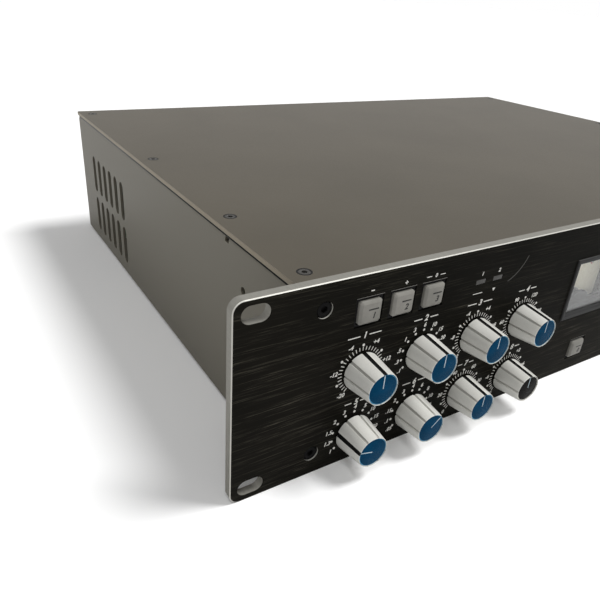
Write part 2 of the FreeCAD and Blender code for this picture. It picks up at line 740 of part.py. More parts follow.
def make_screws():
    """All screws, one node for each place that they hold."""
    cover_screw = make_screw("cover_screw", "cover_screw", countersunk=True)
    panel_screw = make_screw("panel_screw", "panel_screw")
    small_screw = make_screw("small_screw", "small_screw")
    covers = [copy_of(cover_screw, f"cover_screw_copy_{order}", across, back, COVER_TOP)
              for order, (across, back) in enumerate(cover_screw_places())]
    fronts = [copy_of(panel_screw, f"panel_screw_copy_{order}", across,
                      f"{PANEL_FRONT} + panel_screw_sink - panel_screw_head_height", up, FACE_FRONT)
              for order, (across, up) in enumerate(panel_screw_places())]
    rears = [copy_of(small_screw, f"rear_screw_copy_{order}", across,
                     "chassis_depth + small_screw_head_height", up, FACE_REAR)
             for order, (across, up) in enumerate(rear_screw_places())]
    sockets = []
    for order in FEMALE_SOCKETS + MALE_SOCKETS:
        for sign in "-+":
            sockets.append(copy_of(
                small_screw, f"socket_screw_copy_{order}_{'low' if sign == '-' else 'high'}",
                f"({socket_column(order)} {sign} socket_screw_across)",
                f"{REAR_INSIDE} + socket_flange_thickness + small_screw_head_height",
                f"(socket_height {sign} socket_screw_up)", FACE_REAR))
    boards = [copy_of(small_screw, f"board_screw_copy_{order}", across, back,
                      f"{BOARD_TOP} + small_screw_head_height")
              for order, (across, back) in enumerate(standoff_places())]
    return [group("cover_screws", *covers), group("front_panel_screws", *fronts),
            group("rear_panel_screws", *rears), group("socket_screws", *sockets),
            group("board_screws", *boards)]


# ---------------------------------------------------------------- knobs and potentiometers
def make_knob_shell():
    """Tapered shell with a seat for its cap, a bore for the shaft and grooves along its side."""
    body = body_named("knob_shell")
    profile = sketch_on(body, "XY_Plane", "shell_profile")
    draw_polygon(profile, ("knob_base_radius", KNOB_BASE), ("knob_front_radius", KNOB_FRONT),
                 (CAP_RADIUS, KNOB_FRONT), (CAP_RADIUS, KNOB_SEAT), (KNOB_BORE, KNOB_SEAT),
                 (KNOB_BORE, KNOB_CAVITY), ("knob_cavity_radius", KNOB_CAVITY),
                 ("knob_cavity_radius", KNOB_BASE))
    turned = body.newObject("PartDesign::Revolution", "shell_turned")
    turned.Profile = profile
    turned.ReferenceAxis = (profile, ["V_Axis"])
    turned.Angle = 360
    doc.recompute()
    side = sketch_on(body, "YZ_Plane", "groove_profile")
    draw_polygon(side, (f"{KNOB_BASE} + 1", "knob_base_radius - knob_groove_depth"),
                 (f"{KNOB_FRONT} - 1", "knob_front_radius - knob_groove_depth"),
                 (f"{KNOB_FRONT} - 1", "knob_base_radius + 2"), (f"{KNOB_BASE} + 1", "knob_base_radius + 2"))
    groove = sink_into(body, side, "shell_groove", "knob_groove_width", both_ways=True)
    grooves = body.newObject("PartDesign::PolarPattern", "shell_grooves")
    grooves.Originals = [groove]
    grooves.Axis = (origin_feature(body, "Y_Axis"), [""])
    grooves.Angle = 360
    bind(grooves, Occurrences="knob_groove_count")
    body.Tip = grooves
    return body


def make_knobs():
    """One node a knob: shell, cap and shaft turn together."""
    shell = make_knob_shell()
    cap = rod("knob_cap", f"{CAP_RADIUS} - trim_clearance", "0",
              (f"({KNOB_FRONT} + knob_cap_sink)", KNOB_SEAT), "0")
    shaft = rod("knob_shaft", "shaft_radius", "0", (KNOB_SEAT, SHAFT_END), "0")
    knobs = []
    for name, channel, across, up in knob_places():
        knob = group(f"knob_{name}_{channel}", shell, cap, shaft)
        knob.Placement = Placement(Vector(), Rotation(Vector(0, 1, 0), 0))
        if name in ("ratio", "release"):
            knob.setExpression("Placement.Rotation.Angle", cells(f"{name}_rest_angle"))
        knobs.append(put(knob, across, "0", up))
    return knobs


def make_potentiometers():
    """Fixed bodies with a threaded bushing; those under the pressed knobs let a pin through."""
    case = box("pot_case", span("0", "pot_width"), ("0", "pot_depth"), span("0", "pot_width"))
    bushing = rod("pot_bushing", "bushing_radius", "0",
                  (f"({PANEL_FRONT} - bushing_reach)", "1"), "0")
    bore = rod("pot_bore", "shaft_radius + shaft_clearance", "0",
               (f"({PANEL_FRONT} - bushing_reach - 1)", "pot_bore_depth"), "0")
    plain = cut("plain_pot", fuse("pot_blank", case, bushing), bore)
    pin_bore = rod("pot_pin_bore", "press_pin_radius + shaft_clearance", "0",
                   ("(pot_bore_depth - 1)", "(pot_depth + 1)"), "0")
    pressed = cut("pressed_pot", plain, pin_bore)
    hexagon = bind(doc.addObject("Part::Prism", "nut_blank"), Circumradius="nut_circumradius",
                   Height="nut_thickness")
    put(hexagon, "0", PANEL_FRONT, "0", FACE_FRONT)
    thread = rod("nut_bore", "bushing_radius + shaft_clearance", "0",
                 (f"({PANEL_FRONT} - nut_thickness - 1)", f"({PANEL_FRONT} + 1)"), "0")
    nut = cut("pot_nut", hexagon, thread)
    pin = rod("press_pin", "press_pin_radius", "0",
              (f"({SHAFT_END} + press_pin_gap)", "(pot_depth - press_travel - press_pin_gap)"), "0")
    pots, nuts, pins = [], [], []
    for name, channel, across, up in knob_places():
        master = pressed if name == PRESSED_KNOB else plain
        pots.append(copy_of(master, f"pot_{name}_{channel}", across, "0", up))
        nuts.append(copy_of(nut, f"nut_{name}_{channel}", across, "0", up))
        if name == PRESSED_KNOB:
            pins.append(copy_of(pin, f"press_pin_{channel}", across, "0", up))
    return [group("potentiometers", *pots), group("potentiometer_nuts", *nuts)] + pins


# ---------------------------------------------------------------- keys and indicators
def make_keys():
    """Square keys whose stems slide in housings on the boards."""
    body = body_named("key_master")
    face = sketch_on(body, "XZ_Plane", "key_face", f"-{KEY_REAR}")
    draw_rectangle(face, span("0", "key_width"), span("0", "key_height"))
    raise_from(body, face, "key_block", "key_length")
    soften(body, "Chamfer", "key_corners", "key_chamfer",
           lambda edge: runs_along(edge, "y") or flat_at(edge, "y", KEY_FRONT))
    root = sketch_on(body, "XZ_Plane", "key_stem_face", f"-{KEY_REAR}")
    draw_rectangle(root, span("0", "key_stem_width"), span("0", "key_stem_width"))
    raise_from(body, root, "key_stem", "key_stem_length", backwards=True)
    block = box("key_housing_block", span("0", "key_housing_width"), (KEY_HOUSING_FRONT, "pot_depth"),
                span("0", "key_housing_width"))
    slide = "key_stem_width + 2 * key_stem_clearance"
    way_end = f"({KEY_REAR} + key_stem_length + key_travel + key_housing_gap)"
    way = box("key_housing_way", span("0", slide), (f"({KEY_HOUSING_FRONT} - 1)", way_end),
              span("0", slide))
    housing = cut("key_housing", block, way)
    keys = [copy_of(body, name, across, "0", up) for name, across, up in key_places()]
    housings = [copy_of(housing, f"housing_{name}", across, "0", up) for name, across, up in key_places()]
    return keys + [group("key_housings", *housings)]


def make_indicators():
    """Light pipes from the boards to the panel's face."""
    pipes = [box(f"indicator_{order}", span(across, "indicator_width - 2 * trim_clearance"),
                 (PANEL_FRONT, "pot_depth"), span("indicator_row", "indicator_height - 2 * trim_clearance"))
             for order, across in enumerate(indicator_places())]
    return group("indicator_windows", *pipes)


# ---------------------------------------------------------------- meters
def meter_span(shrink):
    """Width and height of the meter window made smaller by the same amount all round."""
    return f"meter_window_width - 2 * ({shrink})", f"meter_window_height - 2 * ({shrink})"


def meter_block(name, shrink, back):
    """A block the shape of the meter window made smaller all round."""
    width, height = meter_span(shrink)
    return box(name, span("0", width), back, span("meter_row", height))


def make_meters():
    """Housing, bezel, glass, scale and needle of both meters."""
    shell = meter_block("meter_shell", "-meter_flange", ("0", "meter_depth"))
    room = meter_block("meter_room", "meter_wall", ("-1", "meter_cavity"))
    staff_way = rod("meter_bearing", "staff_radius + staff_clearance", "0",
                    ("(meter_cavity - 1)", f"({NEEDLE_REAR} + staff_length + needle_gap)"), PIVOT_HEIGHT)
    housing = cut("meter_housing", shell, room, staff_way)
    frame = meter_block("bezel_frame", "trim_clearance", (f"({PANEL_FRONT} - bezel_reach)", "0"))
    aperture = meter_block("bezel_aperture", "bezel_face", (f"({PANEL_FRONT} - bezel_reach - 1)", "1"))
    seat = meter_block("bezel_glass_seat", "bezel_seat", ("(-glass_depth)", "1"))
    bezel = cut("meter_bezel", frame, aperture, seat)
    glass = meter_block("meter_glass", "bezel_seat + trim_clearance",
                        ("(-glass_depth)", "(glass_thickness - glass_depth)"))
    plate = meter_block("scale_plate", "meter_wall + trim_clearance",
                        ("(meter_cavity - scale_thickness)", "meter_cavity"))
    plate_hole = rod("scale_hole", "2 * staff_radius", "0",
                     ("(meter_cavity - scale_thickness - 1)", "(meter_cavity + 1)"), PIVOT_HEIGHT)
    scale = cut("meter_scale", plate, plate_hole)
    parts = (("meter_housings", housing), ("meter_bezels", bezel), ("meter_windows", glass),
             ("meter_scales", scale))
    nodes = [group(label, *(copy_of(master, f"{label}_{channel}", f"{sign}meter_offset", "0", "0")
                            for channel, sign in zip(CHANNELS, "-+"))) for label, master in parts]
    needle = make_needle()
    for channel, sign in zip(CHANNELS, "-+"):
        pointer = group(f"needle_{channel}", needle)
        pointer.Placement = Placement(Vector(), Rotation(Vector(0, 1, 0), amount("needle_rest_angle")))
        pointer.setExpression("Placement.Rotation.Angle", cells("needle_rest_angle"))
        nodes.append(put(pointer, f"{sign}meter_offset", "0", PIVOT_HEIGHT))
    return nodes


def make_needle():
    """Pointer with a balancing tail on a hub and staff, its pivot at the origin, pointing up."""
    hub = rod("needle_hub", "needle_hub_radius", "0",
              (f"({NEEDLE_REAR} - needle_hub_length)", NEEDLE_REAR), "0")
    staff = rod("needle_staff", "staff_radius", "0",
                (f"({NEEDLE_REAR} - needle_hub_length / 2)", f"({NEEDLE_REAR} + staff_length)"), "0")
    layer = (f"({NEEDLE_REAR} - (needle_hub_length + needle_thickness) / 2)",
             f"({NEEDLE_REAR} - (needle_hub_length - needle_thickness) / 2)")
    blade = box("needle_blade", span("0", "needle_width"), layer, ("0", "needle_length"))
    tail = box("needle_tail_block", span("0", "needle_tail_width"), layer, ("(-needle_tail)", "0"))
    return fuse("needle_master", hub, staff, blade, tail)


# ---------------------------------------------------------------- boards and power supply
def board_corners(outline):
    left, right, front, rear = outline
    for across in (f"({left} + board_hole_inset)", f"({right} - board_hole_inset)"):
        for back in (f"({front} + board_hole_inset)", f"({rear} - board_hole_inset)"):
            yield across, back


def standoff_places():
    yield from board_corners(MAIN_BOARD)
    yield from board_corners(SUPPLY_BOARD)


def make_flat_board(name, outline):
    """A board over the floor with a hole at each corner."""
    plate = box(name + "_plate", outline[:2], outline[2:], (f"({FLOOR} + standoff_height)", BOARD_TOP))
    holes = [post(f"{name}_hole_{order}", "small_screw_shank + screw_clearance", across, back,
                  (f"({FLOOR} + standoff_height - 1)", f"({BOARD_TOP} + 1)"))
             for order, (across, back) in enumerate(board_corners(outline))]
    return cut(name, plate, *holes)


def make_boards():
    """Main and supply boards on standoffs, and the upright boards behind the controls."""
    tube = post("standoff_tube", "standoff_radius", "0", "0", (FLOOR, f"({FLOOR} + standoff_height)"))
    thread = post("standoff_thread", "small_screw_shank + screw_clearance", "0", "0",
                  (f"({FLOOR} + 1)", f"({FLOOR} + standoff_height + 1)"))
    standoff = cut("standoff", tube, thread)
    standoffs = [copy_of(standoff, f"standoff_{order}", across, back, "0")
                 for order, (across, back) in enumerate(standoff_places())]
    layer = ("pot_depth", "(pot_depth + board_thickness)")
    uprights = [
        box("control_board_1", (f"(-{CONTROL_BOARD_OUTER})", f"(-{CONTROL_BOARD_INNER})"), layer,
            span("0", "control_board_height")),
        box("control_board_2", (CONTROL_BOARD_INNER, CONTROL_BOARD_OUTER), layer,
            span("0", "control_board_height")),
        box("centre_board", span("0", f"2 * ({CONTROL_BOARD_INNER} - centre_board_gap)"), layer,
            span("centre_key_row", "centre_board_height"))]
    connectors = [box(f"connector_{name}", span(across, "connector_width"),
                      (layer[1], "(main_board_front_gap + connector_overlap)"),
                      (BOARD_TOP, f"({BOARD_TOP} + connector_height)"))
                  for name, across in (("left", f"(-{CONTROL_BOARD_INNER} - connector_width / 2)"),
                                       ("centre", "0"),
                                       ("right", f"({CONTROL_BOARD_INNER} + connector_width / 2)"))]
    return [make_flat_board("main_board", MAIN_BOARD),
            make_flat_board("power_supply_board", SUPPLY_BOARD),
            group("board_standoffs", *standoffs), group("control_boards", *uprights),
            group("board_connectors", *connectors)]


def make_power_supply():
    """Ring transformer with its clamp, reservoir capacitors and a finned heatsink."""
    ring_top = f"({FLOOR} + transformer_height)"
    centre = (TRANSFORMER_COLUMN, "transformer_depth")
    ring = post("transformer_ring", "transformer_radius", *centre, (FLOOR, ring_top))
    core = post("transformer_core", "transformer_core_radius", *centre,
                (f"({FLOOR} - 1)", f"({ring_top} + 1)"))
    sharp = cut("transformer_blank", ring, core)
    doc.recompute()
    transformer = doc.addObject("Part::Fillet", "mains_transformer")
    transformer.Base = sharp
    radius = amount("transformer_edge_radius")
    transformer.Edges = [(number, radius, radius) for number, edge in enumerate(sharp.Shape.Edges, start=1)
                         if near(edge.Length, "2 * 3.14159265 * transformer_radius")]
    washer = post("clamp_washer", "clamp_radius", *centre, (ring_top, f"({ring_top} + clamp_thickness)"))
    bolt = post("clamp_bolt", "clamp_bolt_radius", *centre, (FLOOR, f"({ring_top} + clamp_thickness)"))
    head = bind(doc.addObject("Part::Prism", "clamp_bolt_head"), Circumradius="clamp_bolt_head",
                Height="clamp_bolt_head_height")
    put(head, *centre, f"({ring_top} + clamp_thickness)")
    clamp = fuse("transformer_clamp", washer, bolt, head)
    middle = f"({SUPPLY_FRONT} + {SUPPLY_REAR}) / 2"
    columns = [post(f"capacitor_{order}", "capacitor_radius",
                    f"({SUPPLY_RIGHT} - 2 * capacitor_radius - {order % 2} * capacitor_pitch)",
                    f"({middle} {'-+'[order // 2]} capacitor_pitch / 2)",
                    (BOARD_TOP, f"({BOARD_TOP} + capacitor_height)")) for order in range(4)]
    level = (BOARD_TOP, f"({BOARD_TOP} + heatsink_height)")
    length = "((heatsink_fin_count - 1) * heatsink_fin_pitch + heatsink_fin_thickness)"
    plate = box("heatsink_plate", (HEATSINK_COLUMN, f"({HEATSINK_COLUMN} + heatsink_base)"),
                span(middle, length), level)
    roots = (f"({HEATSINK_COLUMN} - heatsink_fin_reach)", f"({HEATSINK_COLUMN} + 1)")
    fins = [box(f"heatsink_fin_{order}", roots,
                span(f"({middle} + ({order} - (heatsink_fin_count - 1) / 2) * heatsink_fin_pitch)",
                     "heatsink_fin_thickness"), level)
            for order in range(SIZES["heatsink_fin_count"])]
    return [transformer, clamp, group("reservoir_capacitors", *columns), fuse("heatsink", plate, *fins)]


# ---------------------------------------------------------------- rear panel pieces
def make_sockets():
    """Three-pole sockets: a flange and barrel with an insert, or with three pins."""
    rear = f"({REAR_INSIDE} + socket_flange_thickness)"
    bore_floor = f"({rear} - socket_bore_depth)"
    flange = box("socket_flange", span("0", "socket_flange_width"), (REAR_INSIDE, rear),
                 span("socket_height", "socket_flange_height"))
    barrel = rod("socket_barrel", "socket_barrel_radius", "0",
                 (f"({REAR_INSIDE} - socket_barrel_length)", f"({REAR_INSIDE} + 1)"), "socket_height")
    holes = [rod(f"socket_flange_hole_{name}", "small_screw_shank + screw_clearance",
                 f"({sign}socket_screw_across)", (f"({REAR_INSIDE} - 1)", f"({rear} + 1)"),
                 f"(socket_height {sign} socket_screw_up)") for name, sign in (("low", "-"), ("high", "+"))]
    bore = rod("socket_bore", "socket_bore_radius", "0", (bore_floor, f"({rear} + 1)"), "socket_height")
    cup = cut("socket_cup", fuse("socket_blank", flange, barrel), bore, *holes)
    places = [(math.cos(math.radians(angle)), math.sin(math.radians(angle))) for angle in (35, 145, 270)]
    pin_holes = [rod(f"socket_pin_hole_{order}", "socket_pin_radius + trim_clearance",
                     f"(socket_pin_circle * {across:.4f})",
                     (f"({rear} - socket_pin_length)", f"({rear} + 1)"),
                     f"(socket_height + socket_pin_circle * {up:.4f})")
                 for order, (across, up) in enumerate(places)]
    insert = cut("socket_insert", rod("socket_insert_blank", "socket_insert_radius", "0",
                                      (bore_floor, rear), "socket_height"), *pin_holes)
    pins = [rod(f"socket_pin_{order}", "socket_pin_radius", f"(socket_pin_circle * {across:.4f})",
                (bore_floor, f"({bore_floor} + socket_pin_length)"),
                f"(socket_height + socket_pin_circle * {up:.4f})")
            for order, (across, up) in enumerate(places)]
    female = group("female_socket", cup, insert)
    male = group("male_socket", cup, *pins)
    inputs = [copy_of(female, f"female_socket_{order}", socket_column(order), "0", "0")
              for order in FEMALE_SOCKETS]
    outputs = [copy_of(male, f"male_socket_{order}", socket_column(order), "0", "0")
               for order in MALE_SOCKETS]
    return [group("input_sockets", *inputs), group("output_sockets", *outputs)]


def make_mains_inlet():
    """Inlet with three blades in a recess, and the fuse drawer that slides out above it."""
    rear = f"({REAR_INSIDE} + inlet_flange_thickness)"
    body = box("inlet_body", span(INLET_COLUMN, "inlet_body_width"),
               (f"({REAR_INSIDE} - inlet_body_depth)", rear), span("0", "inlet_body_height"))
    flange = box("inlet_flange_plate", span(INLET_COLUMN, "inlet_body_width + 2 * inlet_flange"),
                 (REAR_INSIDE, rear), span("0", "inlet_body_height + 2 * inlet_flange"))
    recess_floor = f"({rear} - inlet_recess_depth)"
    recess = box("inlet_recess", span(INLET_COLUMN, "inlet_recess_width"),
                 (recess_floor, f"({rear} + 1)"), span("(-inlet_recess_drop)", "inlet_recess_height"))
    drawer_front = f"({rear} - drawer_length)"
    way = box("drawer_way", span(INLET_COLUMN, "drawer_width + 2 * drawer_clearance"),
              (f"({drawer_front} - drawer_clearance)", f"({rear} + 1)"),
              span("drawer_rise", "drawer_height + 2 * drawer_clearance"))
    shell = cut("inlet_shell", fuse("inlet_blank", body, flange), recess, way)
    blades = [box(f"inlet_blade_{order}", span(f"({INLET_COLUMN} + {order} * inlet_blade_pitch)",
                                               "inlet_blade_width"),
                  (recess_floor, f"({recess_floor} + inlet_blade_length)"),
                  span("(-inlet_recess_drop)", "inlet_blade_height")) for order in (-1, 0, 1)]
    block = box("drawer_block", span(INLET_COLUMN, "drawer_width"), (drawer_front, rear),
                span("drawer_rise", "drawer_height"))
    lip = box("drawer_grip", span(INLET_COLUMN, "drawer_width / 2"), (rear, f"({rear} + drawer_lip)"),
              span("drawer_rise", "drawer_height / 3"))
    return [group("mains_inlet", shell, *blades), fuse("fuse_drawer", block, lip)]


def make_power_switch():
    """Rocker on two pins in a snapped-in housing."""
    rear = f"({REAR_INSIDE} + switch_flange)"
    body = box("switch_body", span(SWITCH_COLUMN, "switch_width - 2 * switch_flange"),
               (f"({REAR_INSIDE} - switch_depth)", rear), span("0", "switch_height - 2 * switch_flange"))
    flange = box("switch_flange_plate", span(SWITCH_COLUMN, "switch_width"), (REAR_INSIDE, rear),
                 span("0", "switch_height"))
    cavity = box("switch_cavity", span(SWITCH_COLUMN, "rocker_width + 2 * rocker_side_gap"),
                 (f"({rear} - switch_cavity_depth)", f"({rear} + 1)"),
                 span("0", "rocker_height + 2 * rocker_end_gap"))
    pin_length = "rocker_width + 2 * rocker_pin_reach"
    pin_turn = Rotation(Vector(0, 1, 0), 90)
    way = bind(doc.addObject("Part::Cylinder", "rocker_pin_way"),
               Radius="rocker_pin_radius + shaft_clearance", Height=f"{pin_length} + 2 * trim_clearance")
    put(way, f"{SWITCH_COLUMN} - ({pin_length}) / 2 - trim_clearance", ROCKER_PIVOT, "0", pin_turn)
    housing = cut("power_switch_housing", fuse("switch_blank", body, flange), cavity, way)
    block = box("rocker_block", span("0", "rocker_width"), span("0.5", "rocker_thickness"),
                span("0", "rocker_height"))
    pin = bind(doc.addObject("Part::Cylinder", "rocker_pin"), Radius="rocker_pin_radius",
               Height=pin_length)
    put(pin, f"-({pin_length}) / 2", "0", "0", pin_turn)
    rocker = group("power_rocker", fuse("rocker_master", block, pin))
    rocker.Placement = Placement(Vector(), Rotation(Vector(1, 0, 0), amount("rocker_tilt")))
    rocker.setExpression("Placement.Rotation.Angle", cells("rocker_tilt"))
    return [housing, put(rocker, SWITCH_COLUMN, ROCKER_PIVOT, "0")]


def write_parts(nodes):
    """Checks every object and node, then writes one file for each node."""
    doc.recompute()
    for item in doc.Objects:
        if "Invalid" in item.State or "Error" in item.State:
            raise RuntimeError(f"{item.Label} failed: {item.State}")
    for node in nodes:
        if node.Shape.isNull() or not node.Shape.isValid():
            raise RuntimeError(f"{node.Label} has no valid shape")
    os.makedirs("parts", exist_ok=True)
    for node in nodes:
        node.Shape.exportStep(f"parts/{node.Label}.step")


pieces = [make_front_panel(), make_chassis_tray(), make_top_cover(), make_rear_panel()]
pieces += make_screws()
pieces += make_knobs()
pieces += make_potentiometers()
pieces += make_keys()
pieces.append(make_indicators())
pieces += make_meters()
pieces += make_boards()
pieces += make_power_supply()
pieces += make_sockets()
pieces += make_mains_inlet()
pieces += make_power_switch()
write_parts(pieces)
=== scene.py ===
"""Rack compressor: two channels of dials and keys, two meters and a folded case, dressed over its frame."""
import json
import math

import bmesh
import bpy
from mathutils import Matrix, Vector


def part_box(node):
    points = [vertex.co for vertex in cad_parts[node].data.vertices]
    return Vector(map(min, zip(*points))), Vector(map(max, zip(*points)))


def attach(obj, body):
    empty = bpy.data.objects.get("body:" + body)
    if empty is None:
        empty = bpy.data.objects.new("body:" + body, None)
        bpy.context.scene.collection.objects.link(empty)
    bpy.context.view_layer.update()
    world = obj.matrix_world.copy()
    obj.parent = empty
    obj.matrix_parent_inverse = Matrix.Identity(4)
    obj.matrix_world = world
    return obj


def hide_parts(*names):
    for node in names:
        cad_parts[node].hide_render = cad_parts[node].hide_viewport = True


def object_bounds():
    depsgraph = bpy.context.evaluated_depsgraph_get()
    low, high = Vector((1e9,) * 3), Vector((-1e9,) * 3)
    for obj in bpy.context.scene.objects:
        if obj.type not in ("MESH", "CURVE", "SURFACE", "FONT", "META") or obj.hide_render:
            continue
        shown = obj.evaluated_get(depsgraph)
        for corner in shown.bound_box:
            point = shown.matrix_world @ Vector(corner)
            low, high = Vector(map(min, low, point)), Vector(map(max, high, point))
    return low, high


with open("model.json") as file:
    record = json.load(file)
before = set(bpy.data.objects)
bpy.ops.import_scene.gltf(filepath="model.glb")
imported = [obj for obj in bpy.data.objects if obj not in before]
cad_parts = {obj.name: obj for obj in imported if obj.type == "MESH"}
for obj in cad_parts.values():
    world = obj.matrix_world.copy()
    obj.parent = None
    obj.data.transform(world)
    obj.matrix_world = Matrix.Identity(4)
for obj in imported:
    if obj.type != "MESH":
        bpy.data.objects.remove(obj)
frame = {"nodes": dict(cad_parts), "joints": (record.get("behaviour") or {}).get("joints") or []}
cad_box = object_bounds()

MM = 0.001
INK = 0.05 * MM  # how far print stands off its face
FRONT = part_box("front_panel")[0].y
JOINTS = {joint["name"]: joint for joint in frame["joints"]}
CHANNELS = (1, 2)
KEYS = [(channel, name) for channel in CHANNELS for name in ("first", "second", "third", "in")]


# ---------------------------------------------------------------- node trees
class Wiring:
    """A node tree and short ways to add nodes whose inputs are numbers or other nodes' outputs."""

    def __init__(self, tree):
        self.tree = tree

    def feed(self, node, socket, value):
        """Joins another node's output to a socket, or fills a value in."""
        if isinstance(value, bpy.types.NodeSocket):
            self.tree.links.new(value, node.inputs[socket])
        else:
            node.inputs[socket].default_value = value

    def add(self, kind, inputs=None, **settings):
        """A new node with its settings made and its sockets fed."""
        node = self.tree.nodes.new(kind)
        for setting, value in settings.items():
            setattr(node, setting, value)
        for socket, value in (inputs or {}).items():
            self.feed(node, socket, value)
        return node

    def math(self, operation, first, second=0.0, third=0.0):
        """The result of one sum."""
        return self.add("ShaderNodeMath", {0: first, 1: second, 2: third}, operation=operation).outputs[0]

    def vector(self, across, back, up):
        """Three values as one vector."""
        return self.add("ShaderNodeCombineXYZ", {0: across, 1: back, 2: up}).outputs[0]

    def looked_at(self):
        """1 where the camera, gloss or glass looks, and 0 for the light that falls on things."""
        path = self.add("ShaderNodeLightPath").outputs
        mirrored = self.math("MAXIMUM", path["Is Glossy Ray"], path["Is Transmission Ray"])
        return self.math("MAXIMUM", path["Is Camera Ray"], mirrored)


class Surface(Wiring):
    """A material in the making: its shader and the patterns that feed it."""

    def __init__(self, name, **sockets):
        self.material = bpy.data.materials.new(name)
        self.material.use_nodes = True
        super().__init__(self.material.node_tree)
        self.tree.nodes.clear()
        values = {label.replace("_", " "): value for label, value in sockets.items()}
        self.shader = self.add("ShaderNodeBsdfPrincipled", values)
        self.add("ShaderNodeOutputMaterial", {"Surface": self.shader.outputs[0]})
        self.spot = self.add("ShaderNodeTexCoord").outputs["Object"]

    def set(self, socket, value):
        """Feeds one of the shader's sockets."""
        self.feed(self.shader, socket, value)

    def stretched(self, stretch):
        """The piece's own coordinates, stretched along its axes."""
        return self.add("ShaderNodeVectorMath", {0: self.spot, 1: stretch}, operation="MULTIPLY").outputs[0]

    def noise(self, size, stretch=(1, 1, 1), detail=3.0, roughness=0.55):
        """Cloudy values from 0 to 1 whose features are about this size in metres."""
        inputs = {"Vector": self.stretched(stretch), "Scale": 1 / size, "Detail": detail,
                  "Roughness": roughness}
        return self.add("ShaderNodeTexNoise", inputs).outputs[0]

    def cells(self, size):
        """Distance to the nearest of scattered spots."""
        inputs = {"Vector": self.spot, "Scale": 1 / size}
        return self.add("ShaderNodeTexVoronoi", inputs).outputs["Distance"]

    def band(self, value, low, high, start=0.0, end=1.0):
        """The value carried from low..high to start..end, and held there."""
        return self.add("ShaderNodeMapRange", {0: value, 1: low, 2: high, 3: start, 4: end}).outputs[0]

    def mix(self, factor, first, second):
        """A colour between two others."""
        first, second = (colour if isinstance(colour, bpy.types.NodeSocket) else (*colour, 1.0)
                         for colour in (first, second))
        node = self.add("ShaderNodeMix", {0: factor, 6: first, 7: second}, data_type="RGBA")
        return node.outputs[2]

    def axis(self, vector, name):
        """One part of a vector."""
        return self.add("ShaderNodeSeparateXYZ", {0: vector}).outputs[name]

    def facing(self, name):
        """How far the surface faces along an axis, from 0 to 1 on either side."""
        normal = self.add("ShaderNodeNewGeometry").outputs["True Normal"]
        return self.math("ABSOLUTE", self.axis(normal, name))

    # callers paint these edges paler, partly as wear and partly as a painted highlight
    def worn_edges(self, radius):
        """1 on edges and 0 on flat faces, from how far a rounded edge would turn the surface."""
        rounded = self.add("ShaderNodeBevel", {"Radius": radius}, samples=4).outputs[0]
        normal = self.add("ShaderNodeNewGeometry").outputs["True Normal"]
        inputs = {0: rounded, 1: normal}
        along = self.add("ShaderNodeVectorMath", inputs, operation="DOT_PRODUCT").outputs["Value"]
        return self.band(along, 0.97, 0.75)

    def relief(self, height, depth, strength):
        """Fine bumps from a pattern."""
        inputs = {"Strength": strength, "Distance": depth, "Height": height}
        self.set("Normal", self.add("ShaderNodeBump", inputs).outputs[0])


class Grower(Wiring):
    """A geometry tree with named inputs, which grows a plain mesh."""

    def __init__(self, name, **kinds):
        tree = bpy.data.node_groups.new(name, "GeometryNodeTree")
        face = tree.interface
        face.new_socket("Geometry", in_out="INPUT", socket_type="NodeSocketGeometry")
        for label, kind in kinds.items():
            face.new_socket(label.replace("_", " "), in_out="INPUT", socket_type="NodeSocket" + kind)
        face.new_socket("Material", in_out="INPUT", socket_type="NodeSocketMaterial")
        face.new_socket("Geometry", in_out="OUTPUT", socket_type="NodeSocketGeometry")
        super().__init__(tree)
        self.given = self.add("NodeGroupInput").outputs

    def finish(self, geometry):
        """Ends the tree in plain faces of the wanted material."""
        plain = self.add("GeometryNodeRealizeInstances", {0: geometry}).outputs[0]
        inputs = {"Geometry": plain, "Material": self.given["Material"]}
        coated = self.add("GeometryNodeSetMaterial", inputs).outputs[0]
        self.add("NodeGroupOutput", {0: coated})
        return self

    def grow(self, material, start=None, **values):
        """The mesh that the tree makes of the start mesh with these inputs."""
        holder = bpy.data.objects.new("holder", start or bpy.data.meshes.new("empty"))
        bpy.context.scene.collection.objects.link(holder)
        modifier = holder.modifiers.new("grow", "NODES")
        modifier.node_group = self.tree
        wanted = {label.replace("_", " "): value for label, value in values.items()}
        wanted["Material"] = material
        for item in self.tree.interface.items_tree:
            if item.in_out == "INPUT" and item.name in wanted:
                modifier[item.identifier] = wanted[item.name]
        view = bpy.context.evaluated_depsgraph_get()
        mesh = bpy.data.meshes.new_from_object(holder.evaluated_get(view))
        bpy.data.objects.remove(holder)
        return mesh


# ---------------------------------------------------------------- meshes
def add_piece(name, mesh, body, slot, *materials, replaces=()):
    """A finished mesh as a piece of the object that rides on its body."""
    piece = bpy.data.objects.new(name, mesh)
    bpy.context.scene.collection.objects.link(piece)
    if not mesh.materials:
        for material in materials:
            mesh.materials.append(material)
    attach(piece, body)
    if replaces:
        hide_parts(*replaces)
    return piece


def closed(shape, name="form", sharp=32.0):
    """The bmesh as a mesh with outward faces, smooth but for its sharp edges."""
    bmesh.ops.remove_doubles(shape, verts=shape.verts, dist=1e-7)
    bmesh.ops.recalc_face_normals(shape, faces=shape.faces)
    mesh = bpy.data.meshes.new(name)
    shape.to_mesh(mesh)
    shape.free()
    mesh.shade_smooth()
    mesh.set_sharp_from_angle(angle=math.radians(sharp))
    return mesh


def gathered(meshes):
    """Many meshes of one finish as one bmesh."""
    shape = bmesh.new()
    for mesh in meshes:
        shape.from_mesh(mesh)
    return shape


